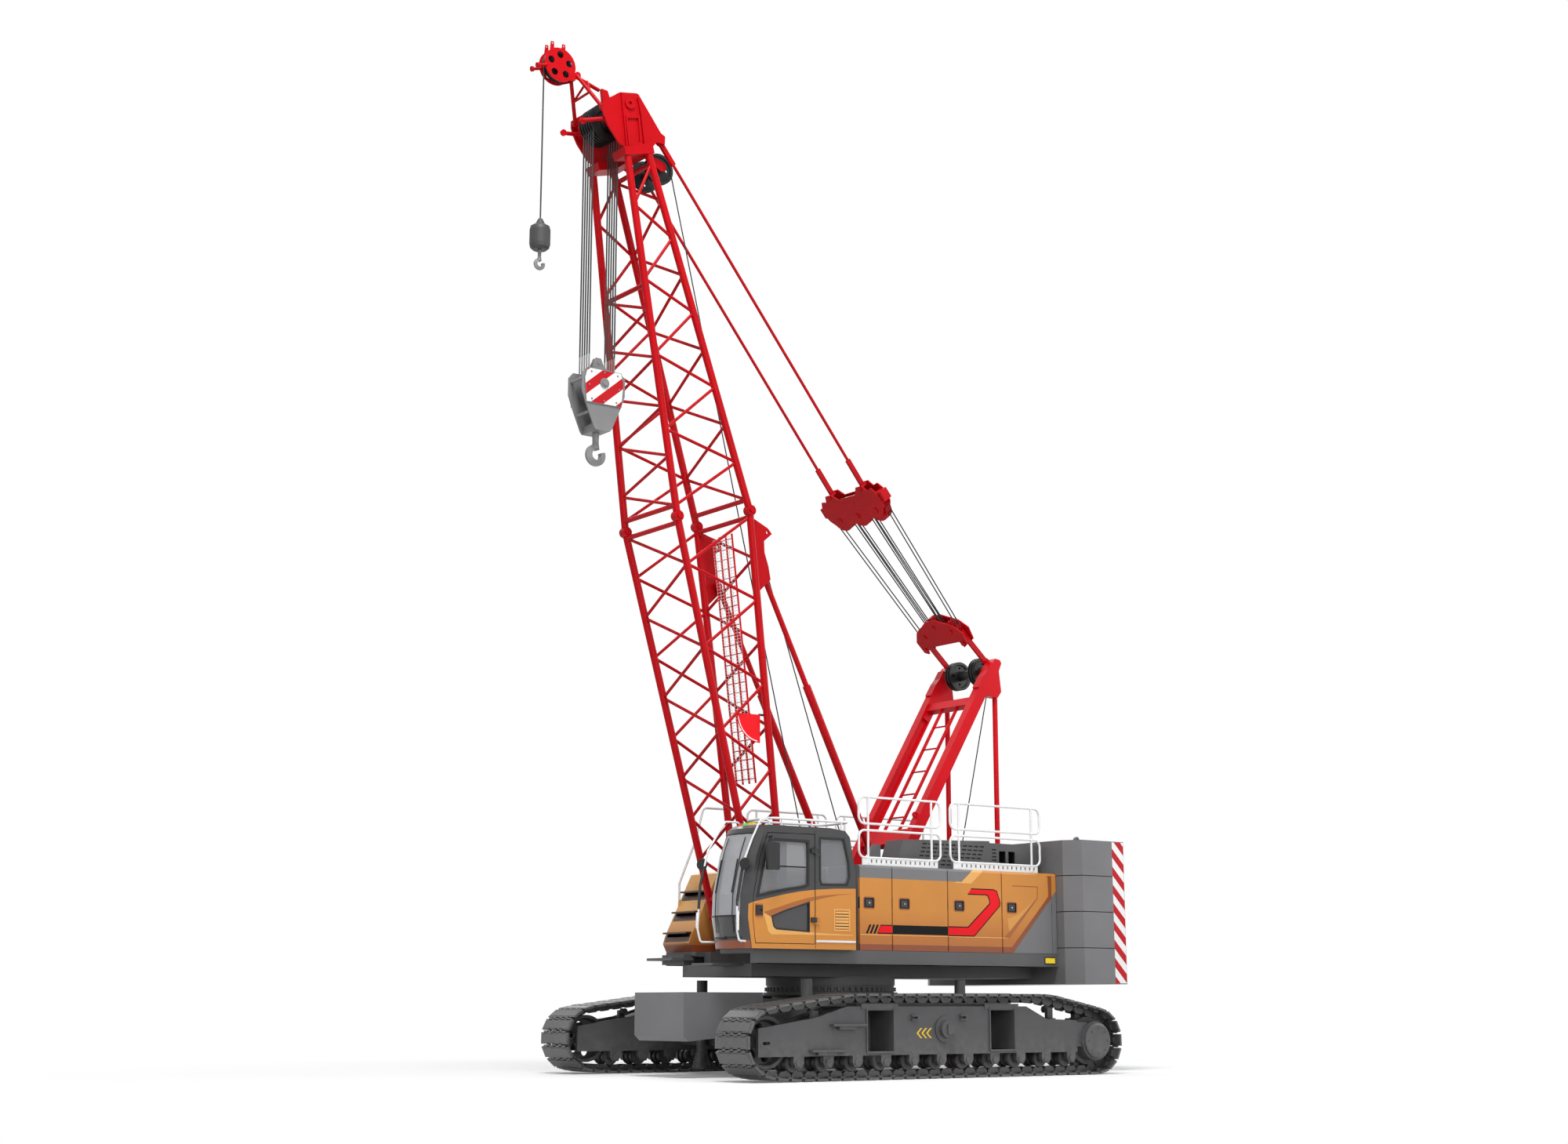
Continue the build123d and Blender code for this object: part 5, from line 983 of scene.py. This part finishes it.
def panel_hardware():
    """Latch paddles on the side panels, with a darker amber ring round each recess as painted shade of its rounded
    rim, and the two rear side lamps.
    """
    piece = Piece("panel_hardware", "upperworks", ["amber_dark", "charcoal", "lamp_yellow", "black", "bright"],
                  bevel=0.004, slot="black_plastic")
    for side in (-1, 1):
        for x in LATCH_XS:
            piece.use("black")
            piece.prism(cut_corners(x, LATCH_Z, (0.098, 0.083), (0.076, 0.058)), "y", side * 1.4862, side * 1.4880)
            piece.use("bright")
            piece.rod((x - 0.012, side * 1.497, LATCH_Z), (x - 0.012, side * 1.501, LATCH_Z), 0.011, 12)
            # Darker amber ring round the recess: painted shade of the rounded rim
            piece.use("amber_dark")
            rim = cut_corners(x, LATCH_Z, (0.102, 0.085), (0.080, 0.060))
            gasket(piece, rim[-1:] + rim[:-1], 0.012, side * 1.4995, side * 1.5025)
            piece.use("charcoal")
            y0, y1 = sorted((side * 1.4975, side * 1.5))
            piece.box((x - 0.040, y0, LATCH_Z - 0.030), (x + 0.036, y1, LATCH_Z + 0.030))
        piece.use("black")
        y0, y1 = sorted((side * 1.4995, side * 1.5045))
        piece.box((-3.365, y0, 1.665), (-3.135, y1, 1.780))
        piece.use("lamp_yellow")
        y0, y1 = sorted((side * 1.5045, side * 1.5145))
        piece.box((-3.350, y0, 1.682), (-3.150, y1, 1.764))
    piece.done()


CHEVRON_Z = 0.640
DRIVE_AXLE = (-3.048, 0.502)
DRIVE_CAP_Y = 2.745
CAP_BOLTS = 0.190


def chevrons():
    """Arrow marks and cover bolts on the outer faces of the side frames."""
    piece = Piece("frame_marks", "undercarriage", ["yellow", "grey_dark"], slot="dark_paint")
    for side in (-1, 1):
        face = side * (TRACK_Y + 0.290)
        piece.use("yellow")
        for k in range(3):
            x = 0.490 - 0.090 * k
            for lean in (-1, 1):
                tip = CHEVRON_Z + lean * 0.072
                band = [(x, CHEVRON_Z), (x - 0.032, CHEVRON_Z), (x - 0.107, tip), (x - 0.075, tip)]
                piece.prism(band, "y", face - side * 0.0005, face + side * 0.0015)
        piece.use("grey_dark")
        cap = side * DRIVE_CAP_Y
        for k in range(8):
            turn = 2 * math.pi * k / 8
            x, z = DRIVE_AXLE[0] + CAP_BOLTS * math.cos(turn), DRIVE_AXLE[1] + CAP_BOLTS * math.sin(turn)
            piece.rod((x, cap - side * 0.02, z), (x, cap + side * 0.008, z), 0.014, 6)
    piece.done()


def angle_plate():
    """Bare quarter disc of the boom angle indicator, on the left of the lower boom section."""
    piece = Piece("angle_plate", "boom", ["decal_red", "white", "black"], slot="red_paint")
    x0, z0 = centre = Vector((1.815, 5.345))
    y = 0.632

    def arc(radius, margin, count):
        """Quarter circle below and in front of the centre, short of both ends by a margin."""
        turns = [-margin - (math.pi / 2 - 2 * margin) * i / count for i in range(count + 1)]
        return [(x0 + radius * math.cos(t), z0 + radius * math.sin(t)) for t in turns]

    piece.prism([tuple(centre)] + arc(0.43, 0.0, 12), "y", y, y + 0.006)
    piece.use("white")
    piece.prism(arc(0.40, 0.12, 10) + arc(0.415, 0.12, 10)[::-1], "y", y + 0.0055, y + 0.0075)
    piece.use("black")
    piece.box((1.60, y - 0.02, 5.33), (1.83, y + 0.002, 5.36))
    piece.done()


WIRE_RADIUS = 0.003
WALKWAY_HALF = 0.25
LONG_WIRES = 7
CROSS_WIRES = 79


def walkway_wire():
    """Fine wires across the ladder on the rear of the lower boom section."""
    piece = Piece("walkway_wire", "boom", "bright", slot="red_paint")
    low, high = Vector((1.640, 0, 4.40)), Vector((2.095, 0, 8.15))
    side = Vector((0, WALKWAY_HALF, 0))
    for k in range(LONG_WIRES):
        shift = side * (2 * k / (LONG_WIRES - 1) - 1)
        piece.rod(low + shift, high + shift, WIRE_RADIUS, 4)
    for k in range(CROSS_WIRES):
        point = low.lerp(high, k / (CROSS_WIRES - 1))
        piece.rod(point - side, point + side, WIRE_RADIUS, 4)
    piece.done()


DRUM_Z = 2.3
DRUM_TURNS = 33
DRUM_PITCH = 0.024


def drum_ropes():
    """Rope laid on each winch drum."""
    for name, x in (("main", 0.62), ("aux", -0.62), ("luffing", -2.15)):
        piece = Piece(f"{name}_drum_rope", f"drum_{name}", "rope", angle=80, slot="black_steel")
        profile = []
        for k in range(DRUM_TURNS):
            profile += [(0.02 + DRUM_PITCH * k, 0.272), (0.032 + DRUM_PITCH * k, 0.292)]
        piece.turned((x, -0.40, DRUM_Z), (x, 0.40, DRUM_Z), profile, 32)
        piece.done()


def sheave_hubs():
    """Red hub plates on the gantry sheaves."""
    piece = Piece("gantry_hubs", "gantry_wheels", "red", slot="red_paint")
    for side in (-1, 1):
        for y in (0.350, 0.225):
            piece.rod((-2.98, side * y - 0.008, 6.47), (-2.98, side * y + 0.008, 6.47), 0.078, 20)
    piece.done()


# ---- Ropes ----
ROPE_RADIUS = 0.010
ROPE_SIDES = 6


def luffing_ropes():
    """Reeving between the two spreaders: four parts to each pair of flat sheaves."""
    piece = Piece("luffing_reeving", None, "rope", slot="black_steel")
    run = Vector((-0.641, 0, -0.767)).normalized()
    across = Vector((-run.z, 0, run.x))
    for (y0, low), (y1, high) in zip(((-0.330, -0.060), (0, -0.200), (0.330, -0.060)),
                                     ((-0.465, 0.433), (0, 0.433), (0.465, 0.433))):
        foot = Vector((-2.400, y0, 7.090)) + run * low
        head = Vector((-0.406, y1, 9.273)) + run * high
        for lane in (-0.034, 0.034):
            for side in (-1, 1):
                start = foot + across * lane + Vector((0, side * 0.150, 0))
                end = head + across * lane + Vector((0, side * 0.200, 0))
                piece.rod(start, end, ROPE_RADIUS, ROPE_SIDES)
    # Only the ends have points, so that the parts stay straight. They meet both spreaders at rest only
    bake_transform(piece.done())


def hoist_ropes():
    """Ropes from the drums to the guide sheaves behind the head, and from the luffing drum to the gantry."""
    for name, start, end in (("main_hoist_rope", (0.42, 0.20, 2.49), (3.245, 0.20, 13.79)),
                             ("aux_hoist_rope", (-0.80, -0.20, 2.50), (3.245, -0.20, 13.79))):
        piece = Piece(name, None, "rope", slot="black_steel")
        start, end = Vector(start), Vector(end)
        piece.tube([start.lerp(end, k / 64) for k in range(65)], ROPE_RADIUS, ROPE_SIDES)
        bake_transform(piece.done())
    piece = Piece("luffing_lead_rope", "upperworks", "rope", slot="black_steel")
    piece.rod((-2.39, 0.10, 2.44), (-3.20, 0.255, 6.40), ROPE_RADIUS, ROPE_SIDES)
    piece.done()


def main():
    make_camera()
    make_world()
    make_floor()
    for light in LIGHTS:
        area_light(*light)
    repaint("red", "gantry", "boom_walkway")
    repaint("red_deep", "boom_head", "aux_jib", "boom_base", "boom_top", "backstop_tubes", "backstop_rods",
            "pendants", "luffing_bail")
    repaint("amber", "side_panels_left", "side_panels_right")
    repaint("cab_paint", "cab_shell")
    repaint("door_paint", "cab_door")
    repaint("stair_paint", "stair_housing")
    repaint("grey", "counterweight", "machine_house_left", "machine_house_right", "carbody_weights")
    repaint("grey_mid", "revolving_frame")
    repaint("hood_paint", "engine_hood")
    repaint("grey_dark", "carbody", "corner_jacks", "slew_ring", "side_frame_left", "side_frame_right",
            "rollers_left", "rollers_right", "idlers", "final_drives")
    repaint("charcoal", "engine_block", "main_drum", "aux_drum", "luffing_drum")
    repaint("black", "gantry_sheaves", "head_sheaves", "guide_sheaves", "jib_sheave")
    repaint("rail_white", "handrails")
    repaint("hook_grey", "main_hook", "aux_hook")
    repaint("block_grey", "hook_block")
    repaint("ball_grey", "aux_ball")
    repaint("cab_panes", "cab_glass")
    for side in ("left", "right"):
        track_shoes(side)
    side_markings()
    hazard_stripes()
    block_stripes()
    cab_trim()
    door_trim()
    cab_front()
    seat()
    panel_hardware()
    chevrons()
    angle_plate()
    walkway_wire()
    drum_ropes()
    sheave_hubs()
    luffing_ropes()
    hoist_ropes()


main()
bpy.context.scene.view_settings.view_transform = "Standard"
